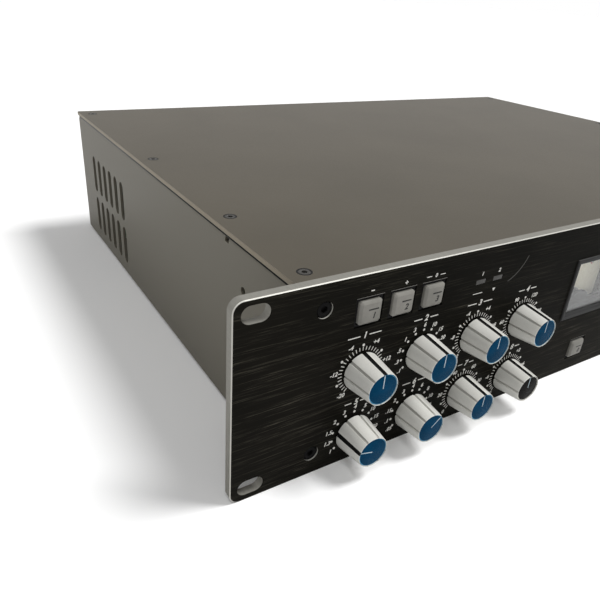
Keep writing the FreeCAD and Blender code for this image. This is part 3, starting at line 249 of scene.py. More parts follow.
def solids(node):
    """Lowest and highest corner of each separate solid of a node, from left to right."""
    shape = bmesh.new()
    shape.from_mesh(frame["nodes"][node].data)
    bmesh.ops.remove_doubles(shape, verts=shape.verts, dist=1e-6)
    left, found = set(shape.verts), []
    while left:
        group, edge = set(), [left.pop()]
        while edge:
            vertex = edge.pop()
            group.add(vertex)
            near = {link.other_vert(vertex) for link in vertex.link_edges} & left
            left -= near
            edge.extend(near)
        spots = [vertex.co for vertex in group]
        found.append(tuple(Vector(choose(spot[i] for spot in spots) for i in range(3))
                           for choose in (min, max)))
    shape.free()
    return sorted(found, key=lambda ends: (round(ends[0].x, 4), round(ends[0].z, 4), ends[0].y))


def middle(ends):
    """The point midway between two corners."""
    return (ends[0] + ends[1]) / 2


def facing_front(across, up, back, turn=0.0):
    """Carries a form made round +Z, with its top at +Y, to the panel's face, turned clockwise."""
    place = Matrix.Translation((across, back, up))
    return place @ Matrix.Rotation(turn, 4, "Y") @ Matrix.Rotation(math.pi / 2, 4, "X")


def lathe(rings, angles, place, coat=None):
    """A turned form about +Z from rings of (height, radius), where a radius may depend on the angle.

    The coat gives the material slot of a face from its two angles and its two rings.
    """
    shape = bmesh.new()
    loops = []
    for height, radius in rings:
        if not callable(radius) and radius == 0:
            loops.append([shape.verts.new((0, 0, height))])
            continue
        loop = []
        for angle in angles:
            reach = radius(angle) if callable(radius) else radius
            loop.append(shape.verts.new((reach * math.sin(angle), reach * math.cos(angle), height)))
        loops.append(loop)
    for first, second in zip(loops, loops[1:]):
        for i in range(len(angles)):
            j = (i + 1) % len(angles)
            if len(first) == 1:
                face = shape.faces.new((first[0], second[i], second[j]))
            elif len(second) == 1:
                face = shape.faces.new((first[i], first[j], second[0]))
            else:
                face = shape.faces.new((first[i], first[j], second[j], second[i]))
            if coat:
                face.material_index = coat(angles[i], angles[j], first, second)
    shape.transform(place)
    return shape


def even_angles(count):
    """Angles spread evenly over one turn."""
    return [2 * math.pi * i / count for i in range(count)]


def hexagon(circumradius):
    """Radius of a hexagon's outline at an angle."""
    def reach(angle):
        return circumradius * math.cos(math.pi / 6) / math.cos((angle % (math.pi / 3)) - math.pi / 6)
    return reach


def slab(low, high):
    """A plain block between two corners."""
    shape = bmesh.new()
    size = Vector(high) - Vector(low)
    place = Matrix.Translation((Vector(low) + Vector(high)) / 2) @ Matrix.Diagonal((*size, 1))
    bmesh.ops.create_cube(shape, size=1, matrix=place)
    return shape


def softened(shape, width, segments=2):
    """The form with every edge rounded."""
    bmesh.ops.remove_doubles(shape, verts=shape.verts, dist=1e-7)
    bmesh.ops.recalc_face_normals(shape, faces=shape.faces)
    edges = [edge for edge in shape.edges if edge.calc_face_angle(0) > 0.3]
    bmesh.ops.bevel(shape, geom=edges, offset=width, segments=segments, profile=0.6,
                    affect="EDGES", clamp_overlap=True)
    return closed(shape, sharp=50)


def loft(loops, closed_ends=True):
    """Walls between loops of corners, closed at both ends or else joined back to the first loop."""
    shape = bmesh.new()
    rows = [[shape.verts.new(corner) for corner in loop] for loop in loops]
    for first, second in zip(rows, rows[1:] if closed_ends else rows[1:] + rows[:1]):
        for i in range(len(first)):
            j = (i + 1) % len(first)
            shape.faces.new((first[i], first[j], second[j], second[i]))
    if closed_ends:
        shape.faces.new(rows[0])
        shape.faces.new(rows[-1])
    return shape


def frame_loop(low, high, inset, back):
    """Corners of a rectangle inset from a box, as seen from the front."""
    return [(low.x + inset, back, low.z + inset), (high.x - inset, back, low.z + inset),
            (high.x - inset, back, high.z - inset), (low.x + inset, back, high.z - inset)]


def arc_band(across, up, radius, width, first, last, front):
    """A printed band along an arc, its angles in degrees clockwise from the top."""
    shape = bmesh.new()
    count = max(6, round(abs(last - first) / 3))
    rows = []
    for i in range(count + 1):
        angle = math.radians(first + (last - first) * i / count)
        row = []
        for reach in (radius - width / 2, radius + width / 2):
            for back in (front, front - INK):
                spot = (across + reach * math.sin(angle), back, up + reach * math.cos(angle))
                row.append(shape.verts.new(spot))
        rows.append([row[0], row[1], row[3], row[2]])
    for near, far in zip(rows, rows[1:]):
        for i in range(4):
            j = (i + 1) % 4
            shape.faces.new((near[i], near[j], far[j], far[i]))
    shape.faces.new(rows[0])
    shape.faces.new(rows[-1])
    return closed(shape)


FIGURE_HEIGHT = 0.7  # of a figure in text of size 1
FIGURE_WEIGHT = 0.032  # how much its strokes are thickened, for each unit of its height


def numeral(text, across, up, height, front=FRONT, lean=0.22):
    """Printed figures as a thin mesh on a face that looks forwards."""
    curve = bpy.data.curves.new("figures", "FONT")
    curve.body = text
    curve.size = height / FIGURE_HEIGHT
    curve.extrude = INK / 2
    curve.offset = FIGURE_WEIGHT * height
    curve.shear = lean
    curve.resolution_u = 3
    curve.align_x = "CENTER"
    curve.align_y = "CENTER"
    holder = bpy.data.objects.new("figures", curve)
    bpy.context.scene.collection.objects.link(holder)
    mesh = bpy.data.meshes.new_from_object(holder.evaluated_get(bpy.context.evaluated_depsgraph_get()))
    bpy.data.objects.remove(holder)
    mesh.transform(facing_front(across, up, front - INK / 2))
    return mesh


def stroke(across, up, width, height, front=FRONT):
    """A printed bar."""
    return closed(slab((across - width / 2, front - INK, up - height / 2),
                       (across + width / 2, front, up + height / 2)))


# ---------------------------------------------------------------- geometry trees
def mark_ring_tree():
    """Marks on an arc round a dial: bars that point outwards, or round dots."""
    tree = Grower("ring of marks", Centre="Vector", Count="Int", First_Angle="Float", Step_Angle="Float",
                  Ring_Radius="Float", Mark_Width="Float", Mark_Length="Float", Mark_Depth="Float",
                  Round="Bool")
    given = tree.given
    index = tree.add("GeometryNodeInputIndex").outputs[0]
    angle = tree.math("MULTIPLY_ADD", index, given["Step Angle"], given["First Angle"])
    across = tree.math("MULTIPLY", tree.math("SINE", angle), given["Ring Radius"])
    up = tree.math("MULTIPLY", tree.math("COSINE", angle), given["Ring Radius"])
    spots = {"Count": given["Count"], "Position": tree.vector(across, 0.0, up)}
    points = tree.add("GeometryNodePoints", spots).outputs[0]
    size = tree.vector(given["Mark Width"], given["Mark Depth"], given["Mark Length"])
    bar = tree.add("GeometryNodeMeshCube", {"Size": size}).outputs[0]
    round_sizes = {"Vertices": 16, "Radius": tree.math("MULTIPLY", given["Mark Width"], 0.5),
                   "Depth": given["Mark Depth"]}
    disc = tree.add("GeometryNodeMeshCylinder", round_sizes).outputs[0]
    dot = tree.add("GeometryNodeTransform", {"Geometry": disc, "Rotation": (math.pi / 2, 0, 0)}).outputs[0]
    choice = {"Switch": given["Round"], "False": bar, "True": dot}
    mark = tree.add("GeometryNodeSwitch", choice, input_type="GEOMETRY").outputs[0]
    turn = tree.add("FunctionNodeEulerToRotation", {0: tree.vector(0.0, angle, 0.0)}).outputs[0]
    placed = {"Points": points, "Instance": mark, "Rotation": turn}
    marks = tree.add("GeometryNodeInstanceOnPoints", placed).outputs[0]
    moved = {"Geometry": marks, "Translation": given["Centre"]}
    return tree.finish(tree.add("GeometryNodeTransform", moved).outputs[0])


def repeat_tree():
    """One form set at every point of the start mesh."""
    tree = Grower("form at every point", Form="Object", Turn="Rotation", Size="Float")
    form = tree.add("GeometryNodeObjectInfo", {0: tree.given["Form"]}).outputs["Geometry"]
    placed = {"Points": tree.given["Geometry"], "Instance": form, "Rotation": tree.given["Turn"],
              "Scale": tree.given["Size"]}
    return tree.finish(tree.add("GeometryNodeInstanceOnPoints", placed).outputs[0])


# ---------------------------------------------------------------- materials
# Where the panel's finish changes, in metres: each pair is the start and the end of the change.
SIDE_RIM = (0.2402, 0.2405)
TOP_RIM = (0.0432, 0.0434)
CORNER_RIM = (0.2803, 0.2806)
SLOT_SIDE = (0.22, 0.221)
BORE_RADIUS = (0.0045, 0.0042)
BORE_DEPTH = (0.0007, 0.0005)


def paint_black_panel():
    """Black anodised plate brushed lengthwise, bare where its edges and counterbores are cut."""
    surface = Surface("black brushed panel", Specular_IOR_Level=0.012)
    fine = surface.noise(0.00034, (0.022, 1, 1), detail=4, roughness=0.7)
    coarse = surface.noise(0.0011, (0.03, 1, 1), detail=2)
    cloud = surface.noise(0.09, detail=2)
    lines = surface.math("MULTIPLY", surface.band(fine, 0.5, 0.75), surface.band(coarse, 0.4, 0.7))
    lines = surface.math("MULTIPLY", lines, surface.band(cloud, 0.35, 0.65, 0.3, 1.0))
    base = surface.mix(surface.band(cloud, 0.3, 0.7), (0.0042, 0.0042, 0.0034), (0.0085, 0.0078, 0.006))
    brushed = surface.mix(lines, base, (0.1, 0.092, 0.07))
    turned = surface.facing("Y")
    across = surface.math("ABSOLUTE", surface.axis(surface.spot, "X"))
    up = surface.math("ABSOLUTE", surface.axis(surface.spot, "Z"))
    rim = surface.math("MAXIMUM", surface.band(across, *SIDE_RIM), surface.band(up, *TOP_RIM))
    rim = surface.math("MAXIMUM", rim, surface.band(surface.math("ADD", across, up), *CORNER_RIM))
    wall = surface.band(turned, 0.3, 0.1)
    slot = surface.math("MULTIPLY", wall, surface.band(across, *SLOT_SIDE))
    hole = middle(solids("front_panel_screws")[0])
    away = surface.vector(surface.math("ADD", across, hole.x), 0.0, surface.math("ADD", up, -abs(hole.z)))
    near = surface.add("ShaderNodeVectorMath", {0: away}, operation="LENGTH").outputs["Value"]
    depth = surface.band(surface.axis(surface.spot, "Y"), *(FRONT + part for part in BORE_DEPTH))
    bore = surface.math("MULTIPLY", surface.band(near, *BORE_RADIUS), depth)
    bare = surface.math("MAXIMUM", slot, surface.math("MULTIPLY", bore, surface.band(turned, 0.9, 0.8)))
    bare = surface.math("MAXIMUM", bare, surface.math("MULTIPLY", rim, surface.band(turned, 0.95, 0.9)))
    bevel = surface.math("MULTIPLY", rim, surface.band(turned, 0.2, 0.5))
    bevel = surface.math("MAXIMUM", bevel, bore)
    grey = surface.mix(surface.noise(0.0006, (1, 0.1, 1)), (0.19, 0.185, 0.165), (0.27, 0.262, 0.235))
    surface.set("Base Color", surface.mix(bare, brushed, surface.mix(bevel, grey, (0.5, 0.49, 0.45))))
    surface.set("Metallic", surface.math("MULTIPLY", bare, 0.3))
    surface.set("Roughness", surface.band(fine, 0.3, 0.7, 0.34, 0.5))
    surface.relief(fine, 0.012 * MM, 0.5)
    return surface.material


def paint_case(name, dark, light, rim=1.0):
    """Fine satin powder coat with a soft mottle; its edges are painted paler as a painted highlight, and
    faces turned to the sides take rim times its light tone as painted light.
    """
    surface = Surface(name, Specular_IOR_Level=0.1)
    grain = surface.noise(0.0004, detail=4, roughness=0.7)
    cloud = surface.noise(0.06, detail=3)
    speck = surface.band(surface.cells(0.0016), 0.1, 0.02)
    mottle = surface.math("MULTIPLY_ADD", surface.band(grain, 0.3, 0.7), 0.3,
                          surface.math("MULTIPLY", surface.band(cloud, 0.3, 0.7), 0.7))
    coat = surface.mix(mottle, dark, light)
    coat = surface.mix(surface.math("MULTIPLY", speck, 0.12), coat, (0.3, 0.29, 0.26))
    # faces turned to either side are painted in rim times the light tone: painted light by the way they face
    painted_side_light = surface.band(surface.facing("X"), 0.7, 0.95)
    coat = surface.mix(painted_side_light, coat, tuple(rim * part for part in light))
    # edges painted much paler: a painted highlight
    painted_edge_highlight = surface.math("MULTIPLY", surface.worn_edges(0.0007), 0.55)
    surface.set("Base Color", surface.mix(painted_edge_highlight, coat, tuple(2.3 * part for part in light)))
    surface.set("Roughness", surface.band(grain, 0.3, 0.7, 0.4, 0.52))
    surface.relief(grain, 0.03 * MM, 0.35)
    return surface.material


def paint_moulding(name, dark, light, roughness, specular, grain_size=0.0003, edge=1.8):
    """Moulded plastic with a fine eroded grain and edges painted paler: partly polish from handling and
    partly a painted highlight.
    """
    surface = Surface(name, Specular_IOR_Level=specular)
    grain = surface.noise(grain_size, detail=3, roughness=0.6)
    flow = surface.noise(0.008, (1, 0.3, 1), detail=2)
    body = surface.mix(surface.band(flow, 0.3, 0.7), dark, light)
    body = surface.mix(surface.band(grain, 0.45, 0.9, 0.0, 0.4), body, tuple(0.8 * part for part in dark))
    # edges painted paler by edge times the light tone: wear on the knobs, a painted highlight on screw heads
    # and keys
    worn_and_highlit = surface.math("MULTIPLY", surface.worn_edges(0.0003), 0.6)
    surface.set("Base Color", surface.mix(worn_and_highlit, body, tuple(min(edge * part, 0.85) for part in light)))
    surface.set("Roughness", surface.band(grain, 0.3, 0.7, roughness - 0.06, roughness + 0.08))
    surface.relief(grain, 0.012 * MM, 0.3)
    return surface.material


def paint_metal(name, dark, light):
    """Bare or plated metal with fine tool marks and smudges."""
    surface = Surface(name, Metallic=1.0)
    marks = surface.noise(0.0004, detail=4, roughness=0.65)
    smudge = surface.noise(0.01, detail=2)
    surface.set("Base Color", surface.mix(surface.band(marks, 0.3, 0.7), dark, light))
    rough = surface.math("ADD", surface.band(marks, 0.3, 0.7, 0.28, 0.4),
                         surface.band(smudge, 0.4, 0.7, 0.0, 0.08))
    surface.set("Roughness", rough)
    surface.relief(marks, 0.008 * MM, 0.4)
    return surface.material


def paint_cap(name, dark, light):
    """Gloss lacquer over a turned disc, with faint mottling."""
    surface = Surface(name, Specular_IOR_Level=0.015)
    mottle = surface.noise(0.0007, detail=4, roughness=0.7)
    drift = surface.noise(0.006, detail=1)
    colour = surface.mix(surface.band(drift, 0.3, 0.7), dark, light)
    surface.set("Base Color", surface.mix(surface.band(mottle, 0.5, 0.85, 0.0, 0.25), colour, dark))
    surface.set("Roughness", surface.band(mottle, 0.3, 0.7, 0.2, 0.32))
    surface.relief(mottle, 0.004 * MM, 0.25)
    return surface.material


def paint_ink(name, thin, full):
    """Screen-printed ink, a little thinner in places."""
    surface = Surface(name, Specular_IOR_Level=0.25, Roughness=0.6)
    cover = surface.noise(0.0005, detail=3)
    surface.set("Base Color", surface.mix(surface.band(cover, 0.25, 0.6), thin, full))
    surface.relief(cover, 0.004 * MM, 0.3)
    return surface.material


def paint_glass():
    """Clear acrylic with the faintest dust."""
    surface = Surface("meter glass", Transmission_Weight=1.0, IOR=1.49, Specular_IOR_Level=0.5)
    dust = surface.noise(0.0004, detail=4, roughness=0.8)
    dusty = surface.band(dust, 0.6, 0.9)
    surface.set("Base Color", surface.mix(dusty, (0.97, 0.985, 0.98), (0.85, 0.86, 0.85)))
    surface.set("Roughness", surface.band(dust, 0.55, 0.85, 0.01, 0.1))
    return surface.material


def paint_board():
    """Green solder mask over copper tracks, with tinned pads."""
    surface = Surface("solder mask", Specular_IOR_Level=0.5)
    layout = {"Vector": surface.spot, "Scale": 120.0, "Mortar Size": 0.06, "Row Height": 0.35,
              "Brick Width": 1.7, "Color1": (0, 0, 0, 1), "Color2": (0, 0, 0, 1), "Mortar": (1, 1, 1, 1)}
    tracks = surface.add("ShaderNodeTexBrick", layout).outputs["Fac"]
    pads = surface.band(surface.cells(0.006), 0.13, 0.1)
    mask = surface.mix(surface.noise(0.02), (0.012, 0.075, 0.032), (0.02, 0.11, 0.045))
    tracked = surface.mix(tracks, mask, (0.03, 0.17, 0.06))
    surface.set("Base Color", surface.mix(pads, tracked, (0.6, 0.58, 0.52)))
    surface.set("Metallic", pads)
    surface.set("Roughness", 0.38)
    surface.relief(tracks, 0.03 * MM, 0.5)
    return surface.material


def paint_winding():
    """Varnished tape wrapped round a ring winding."""
    surface = Surface("transformer tape", Specular_IOR_Level=0.5, Roughness=0.42)
    layout = {"Vector": surface.stretched((1, 1, 0.2)), "Scale": 55.0, "Distortion": 1.5, "Detail": 2.0}
    wraps = surface.add("ShaderNodeTexWave", layout).outputs["Fac"]
    tape = surface.mix(wraps, (0.32, 0.2, 0.05), (0.5, 0.36, 0.12))
    stained = surface.band(surface.noise(0.003), 0.4, 0.8)
    surface.set("Base Color", surface.mix(stained, tape, (0.22, 0.13, 0.03)))
    surface.relief(wraps, 0.2 * MM, 0.6)
    return surface.material


def paint_card():
    """Cream card with a little fibre."""
    surface = Surface("scale card", Specular_IOR_Level=0.3, Roughness=0.7)
    fibre = surface.noise(0.0006, (1, 1, 0.3), detail=4)
    shade = surface.band(fibre, 0.3, 0.7)
    surface.set("Base Color", surface.mix(shade, (0.66, 0.6, 0.44), (0.78, 0.73, 0.58)))
    surface.relief(fibre, 0.01 * MM, 0.3)
    return surface.material


def paint_lens():
    """Smoked light pipe, unlit."""
    surface = Surface("indicator lens", Specular_IOR_Level=0.25)
    haze = surface.noise(0.0008, detail=2)
    rim = surface.math("MULTIPLY", surface.worn_edges(0.0004), 0.7)
    core = surface.mix(surface.band(haze, 0.3, 0.7), (0.032, 0.031, 0.029), (0.055, 0.053, 0.05))
    surface.set("Base Color", surface.mix(rim, core, (0.2, 0.194, 0.18)))
    surface.set("Roughness", surface.band(haze, 0.3, 0.7, 0.3, 0.42))
    return surface.material


PANEL_BLACK = paint_black_panel()
# one case paint in two copies: lighter for the tray and rear panel, about half as dark for the top cover, as
# painted light and shade; rim 3.2 paints the cover's side edges pale as a painted highlight
CASE_PAINT_LIT_COPY = paint_case("case paint", (0.118, 0.109, 0.086), (0.142, 0.132, 0.106))
CASE_PAINT_SHADED_COPY = paint_case("cover paint", (0.061, 0.053, 0.039), (0.076, 0.066, 0.049), rim=3.2)
# edge 5.0 paints the rims of the cover screw heads pale: a painted highlight
SCREW_BLACK = paint_moulding("blackened screw steel", (0.02, 0.019, 0.017), (0.05, 0.048, 0.044), 0.35, 0.1,
                             0.0004, 5.0)
SCREW_DARK = paint_moulding("black cap screws", (0.003, 0.003, 0.003), (0.006, 0.006, 0.006), 0.4, 0.04,
                            0.0004, 2.0)
ZINC = paint_metal("zinc plate", (0.42, 0.42, 0.41), (0.62, 0.62, 0.6))
CONTACT = paint_metal("silvered contact", (0.36, 0.35, 0.32), (0.52, 0.5, 0.46))
BLACK_PLASTIC = paint_moulding("black plastic", (0.008, 0.008, 0.008), (0.014, 0.014, 0.014), 0.5, 0.2)
SHELL_GREY = paint_moulding("knob grey", (0.53, 0.525, 0.49), (0.63, 0.625, 0.585), 0.36, 0.3, 0.0005, 1.3)
# darker grey for the floors of the knobs' plain grooves: painted shade
GROOVE_SHADE_GREY = paint_moulding("knob groove grey", (0.31, 0.305, 0.28), (0.4, 0.392, 0.365), 0.5, 0.2)
# edge 2.0 paints the key edges paler: a painted highlight
KEY_GREY = paint_moulding("key grey", (0.17, 0.166, 0.148), (0.225, 0.217, 0.195), 0.42, 0.2, 0.0004, 2.0)
# also coats the rings round the cover screws and the strips under the cover's edges, which are painted shade
DEEP_BLACK = paint_moulding("deep black inlay", (0.003, 0.003, 0.003), (0.006, 0.006, 0.006), 0.5, 0.1)
CAP_BLUE = paint_cap("blue cap lacquer", (0.0001, 0.032, 0.075), (0.0002, 0.042, 0.099))
CAP_BLACK = paint_cap("black cap lacquer", (0.006, 0.006, 0.006), (0.012, 0.011, 0.01))
# paler blue for the caps' sloped edges: a painted highlight
CAP_RIM_HIGHLIGHT = paint_cap("blue cap rim", (0.05, 0.23, 0.4), (0.09, 0.34, 0.55))
WHITE_INK = paint_ink("white ink", (0.5, 0.49, 0.46), (0.74, 0.73, 0.69))
PALE_INK = paint_ink("pale blue ink", (0.3, 0.4, 0.45), (0.46, 0.55, 0.6))
GREY_INK = paint_ink("faint grey ink", (0.03, 0.029, 0.026), (0.055, 0.053, 0.047))
# pale coat for the top edges of the key windows: a painted highlight
WINDOW_HIGHLIGHT = paint_ink("bare window lip", (0.11, 0.107, 0.095), (0.18, 0.175, 0.158))
DARK_INK = paint_ink("dark ink", (0.03, 0.03, 0.028), (0.012, 0.012, 0.011))
RED_INK = paint_ink("red ink", (0.35, 0.03, 0.02), (0.42, 0.02, 0.012))
GLASS = paint_glass()
BOARD = paint_board()
WINDING = paint_winding()
CARD = paint_card()
LENS = paint_lens()
SLEEVE = paint_moulding("capacitor sleeve", (0.008, 0.012, 0.03), (0.015, 0.022, 0.055), 0.3, 0.5)
FIN_BLACK = paint_moulding("black anodised fins", (0.012, 0.012, 0.013), (0.022, 0.022, 0.023), 0.4, 0.45)

FINISHES = {
    "front_panel": PANEL_BLACK, "chassis_tray": CASE_PAINT_LIT_COPY, "top_cover": CASE_PAINT_SHADED_COPY,
    "rear_panel": CASE_PAINT_LIT_COPY, "cover_screws": SCREW_BLACK, "front_panel_screws": SCREW_DARK,
    "rear_panel_screws": SCREW_BLACK, "socket_screws": SCREW_BLACK, "board_screws": ZINC,
    "potentiometers": ZINC, "potentiometer_nuts": ZINC, "key_housings": BLACK_PLASTIC,
    "indicator_windows": LENS, "meter_housings": BLACK_PLASTIC, "meter_bezels": BLACK_PLASTIC,
    "meter_windows": GLASS, "meter_scales": CARD, "main_board": BOARD, "power_supply_board": BOARD,
    "board_standoffs": ZINC, "control_boards": BOARD, "board_connectors": BLACK_PLASTIC,
    "mains_transformer": WINDING, "transformer_clamp": ZINC, "reservoir_capacitors": SLEEVE,
    "heatsink": FIN_BLACK, "input_sockets": BLACK_PLASTIC, "output_sockets": BLACK_PLASTIC,
    "mains_inlet": BLACK_PLASTIC, "power_switch_housing": BLACK_PLASTIC, "power_rocker": BLACK_PLASTIC,
    "fuse_drawer": BLACK_PLASTIC, "needle_1": DARK_INK, "needle_2": DARK_INK,
    "press_pin_1": ZINC, "press_pin_2": ZINC,
}
for node, coat in FINISHES.items():
    slots = frame["nodes"][node].data.materials
    if not slots:
        slots.append(coat)
    for order in range(len(slots)):
        slots[order] = coat

MARKS = mark_ring_tree()
REPEAT = repeat_tree()


# ---------------------------------------------------------------- knobs
KNOB_SIDES = 8
KNOB_BASE_RADIUS = 8.55 * MM
KNOB_FRONT_RADIUS = 7.05 * MM
KNOB_BODY_RADIUS = 7.8 * MM  # halfway along, where the grooves are measured
KNOB_PANEL_GAP = 0.8 * MM
KNOB_RIM = 0.25 * MM
CAVITY_RADIUS = 6.6 * MM
CAVITY_DEPTH = 3.6 * MM
SHAFT_RADIUS = 3.0 * MM
SEAT_DEPTH = 1.6 * MM
CAP_SINK = 0.3 * MM
CAP_THICKNESS = 1.2 * MM
CAP_LINE = 0.23 * MM  # half its width
GROOVE_WIDTH = 1.2 * MM
POINTER_WIDTH = 1.9 * MM
GROOVE_DEPTH = 0.45 * MM
GROOVE_BESIDE = 0.56  # this and the next two are measured from a groove's middle, in groove widths
GROOVE_LIP = 0.5
GROOVE_FLOOR = 0.43


def groove_width(side):
    """The groove at the knob's pointer is wider than the plain ones."""
    return POINTER_WIDTH if side % KNOB_SIDES == 0 else GROOVE_WIDTH


def knob_angles():
    """Angles round the knob, close together over each groove."""
    across = [-GROOVE_BESIDE, -GROOVE_LIP, -GROOVE_FLOOR, 0.0, GROOVE_FLOOR, GROOVE_LIP, GROOVE_BESIDE]
    pitch = 2 * math.pi / KNOB_SIDES
    angles = []
    for side in range(KNOB_SIDES):
        angles += [side * pitch + part * groove_width(side) / KNOB_BODY_RADIUS for part in across]
        last = angles[-1]
        gap = (side + 1) * pitch + across[0] * groove_width(side + 1) / KNOB_BODY_RADIUS - last
        angles += [last + gap * step / 7 for step in range(1, 7)]
    return angles


def from_groove(angle):
    """Which groove is nearest to an angle, and how far off it is in groove widths."""
    pitch = 2 * math.pi / KNOB_SIDES
    side = round(angle / pitch)
    return side % KNOB_SIDES, abs(angle - side * pitch) * KNOB_BODY_RADIUS / groove_width(side)


def groove_at(angle):
    """Depth of the nearest groove at an angle; its walls are steep and its floor nearly flat."""
    away = from_groove(angle)[1]
    return GROOVE_DEPTH * min(1.0, max(0.0, (GROOVE_LIP - away) / (GROOVE_LIP - GROOVE_FLOOR)))


def fluted(radius, least=0.0):
    """The radius at an angle of a ring that the grooves cut, down to the least radius."""
    return lambda angle: max(radius - groove_at(angle), least)


def build_knob(name, channel, turn, cap):
    """Grooved shell with a black pointer along it, a lacquered cap with a pale pointer and its shaft."""
    node = f"knob_{name}_{channel}"
    low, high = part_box(node)
    spot = JOINTS[f"turn_{name}_{channel}"]["pos_m"]
    rear = FRONT - KNOB_PANEL_GAP
    length = rear - low.y
    base_radius, front_radius = KNOB_BASE_RADIUS, KNOB_FRONT_RADIUS
    seat = front_radius - KNOB_RIM
    place = facing_front(spot[0], spot[2], rear, math.radians(turn))
    taper = (front_radius - base_radius) / length
    thin = seat + 0.06 * MM
    rings = [(0.0, CAVITY_RADIUS), (0.0, fluted(base_radius - 0.25 * MM)),
             (0.08 * MM, fluted(base_radius - 0.08 * MM)),
             (0.3 * MM, fluted(base_radius + taper * 0.3 * MM))]
    rings += [(length * part, fluted(base_radius + taper * length * part)) for part in (0.25, 0.5, 0.75)]
    rings += [(length - 1.7 * MM, fluted(front_radius - taper * 1.7 * MM, thin)),
              (length - 0.3 * MM, fluted(front_radius, thin)),
              (length - 0.1 * MM, fluted(front_radius - 0.04 * MM, thin)), (length, thin),
              (length, seat), (length - SEAT_DEPTH, seat), (length - SEAT_DEPTH, 0)]

    def inlay(first, second, near, far):
        """Black all over the pointer's groove, and a darker grey on the floors of the plain ones as painted
        shade.
        """
        side, away = from_groove((first + second) / 2)
        if side == 0:
            return int(away < GROOVE_LIP)
        return 2 if away < GROOVE_FLOOR else 0

    shell = lathe(rings, knob_angles(), place, inlay)
    cavity = [(0.0, CAVITY_RADIUS), (CAVITY_DEPTH, CAVITY_RADIUS), (CAVITY_DEPTH, 0)]
    inner = lathe(cavity, even_angles(48), place)
    shaft_front, shaft_rear = CAVITY_DEPTH - 0.1 * MM, rear - high.y
    rod = [(shaft_front, 0), (shaft_front, SHAFT_RADIUS), (shaft_rear, SHAFT_RADIUS), (shaft_rear, 0)]
    shaft = lathe(rod, even_angles(24), place)
    meshes = [closed(form, sharp=28) for form in (shell, inner, shaft)]
    body = closed(gathered(meshes), node + "_shell", sharp=28)
    add_piece(f"{name}_knob_shell_{channel}", body, node, "knob_grey", SHELL_GREY, DEEP_BLACK,
              GROOVE_SHADE_GREY, replaces=(node,))
    sunk = length - CAP_SINK
    edge = seat - 0.04 * MM
    slope = 0.3 * MM
    disc = [(sunk - CAP_THICKNESS, 0), (sunk - CAP_THICKNESS, edge), (sunk - slope, edge),
            (sunk - 0.1 * MM, edge - 0.12 * MM), (sunk, edge - 0.42 * MM), (sunk, 0)]

    def rim(first, second, near, far):
        """The paler coat on the cap's sloped edge, a painted highlight."""
        return int(len(far) > 1 and near[0].co.z > sunk - slope - 0.01 * MM)

    button = closed(lathe(disc, even_angles(96), place, rim), node + "_cap", sharp=40)
    # blue caps get a paler blue on their sloped edge as a painted highlight; black caps get the shell grey
    # there
    rim_highlight_coat = CAP_RIM_HIGHLIGHT if cap is CAP_BLUE else SHELL_GREY
    add_piece(f"{name}_knob_cap_{channel}", button, node, "knob_grey", cap, rim_highlight_coat)
    line = slab((-CAP_LINE, 0.3 * MM, sunk - 0.08 * MM), (CAP_LINE, edge, sunk + 0.04 * MM))
    line.transform(place)
    pointer = softened(line, 0.05 * MM, 1)
    add_piece(f"{name}_cap_pointer_{channel}", pointer, node, "knob_grey", PALE_INK)


# ---------------------------------------------------------------- keys, indicators and screws
KEY_LENGTH = 5.0 * MM
KEY_CLIP = 0.8 * MM
KEY_SLOPE = 0.85 * MM
KEY_RIM = 1.05 * MM
STEM_HALF = 2.0 * MM
WINDOW_GAP = 1.3 * MM


def key_outline(low, high, clip, inset, back):
    """Eight corners of a rectangle with clipped corners."""
    left, right = low.x + inset, high.x - inset
    base, top = low.z + inset, high.z - inset
    return [(left + clip, back, base), (right - clip, back, base), (right, back, base + clip),
            (right, back, top - clip), (right - clip, back, top), (left + clip, back, top),
            (left, back, top - clip), (left, back, base + clip)]


def build_key(node, legend):
    """Square key with clipped corners, a sloped rim and a dark figure, on its stem."""
    low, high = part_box(node)
    rear = low.y + KEY_LENGTH
    cap = loft([key_outline(low, high, KEY_CLIP, 0.0, rear),
                key_outline(low, high, KEY_CLIP, 0.0, low.y + KEY_SLOPE),
                key_outline(low, high, 0.45 * MM, KEY_RIM, low.y)])
    centre = middle((low, high))
    stem = slab((centre.x - STEM_HALF, rear - 0.2 * MM, centre.z - STEM_HALF),
                (centre.x + STEM_HALF, high.y, centre.z + STEM_HALF))
    meshes = [softened(cap, 0.08 * MM, 2), softened(stem, 0.2 * MM, 1)]
    piece = closed(gathered(meshes), node + "_cap", sharp=50)
    add_piece(f"{node}_button", piece, node, "key_grey", KEY_GREY, replaces=(node,))
    figures = [numeral(legend, centre.x + 1.3 * MM, centre.z - 1.5 * MM, 2.5 * MM, low.y),
               stroke(centre.x + 1.0 * MM, centre.z + 1.3 * MM, 4.6 * MM, 0.55 * MM, low.y)]
    add_piece(f"{node}_figure", closed(gathered(figures), sharp=30), node, "key_grey", DARK_INK)


def build_collars():
    """Black frames that fill each key's window and leave the key free to slide."""
    outer, inner = -1.27 * MM, -0.16 * MM
    near, far = FRONT + 0.5 * MM, FRONT + 1.9 * MM
    corners = ((outer, near), (inner, near), (inner, far), (outer, far))
    meshes = []
    for channel, name in KEYS:
        low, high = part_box(f"key_{name}_{channel}")
        loops = [frame_loop(low, high, inset, back) for inset, back in corners]
        meshes.append(softened(loft(loops, closed_ends=False), 0.08 * MM, 2))
    add_piece("key_window_collars", closed(gathered(meshes), sharp=50), "chassis", "black_plastic",
              DEEP_BLACK)


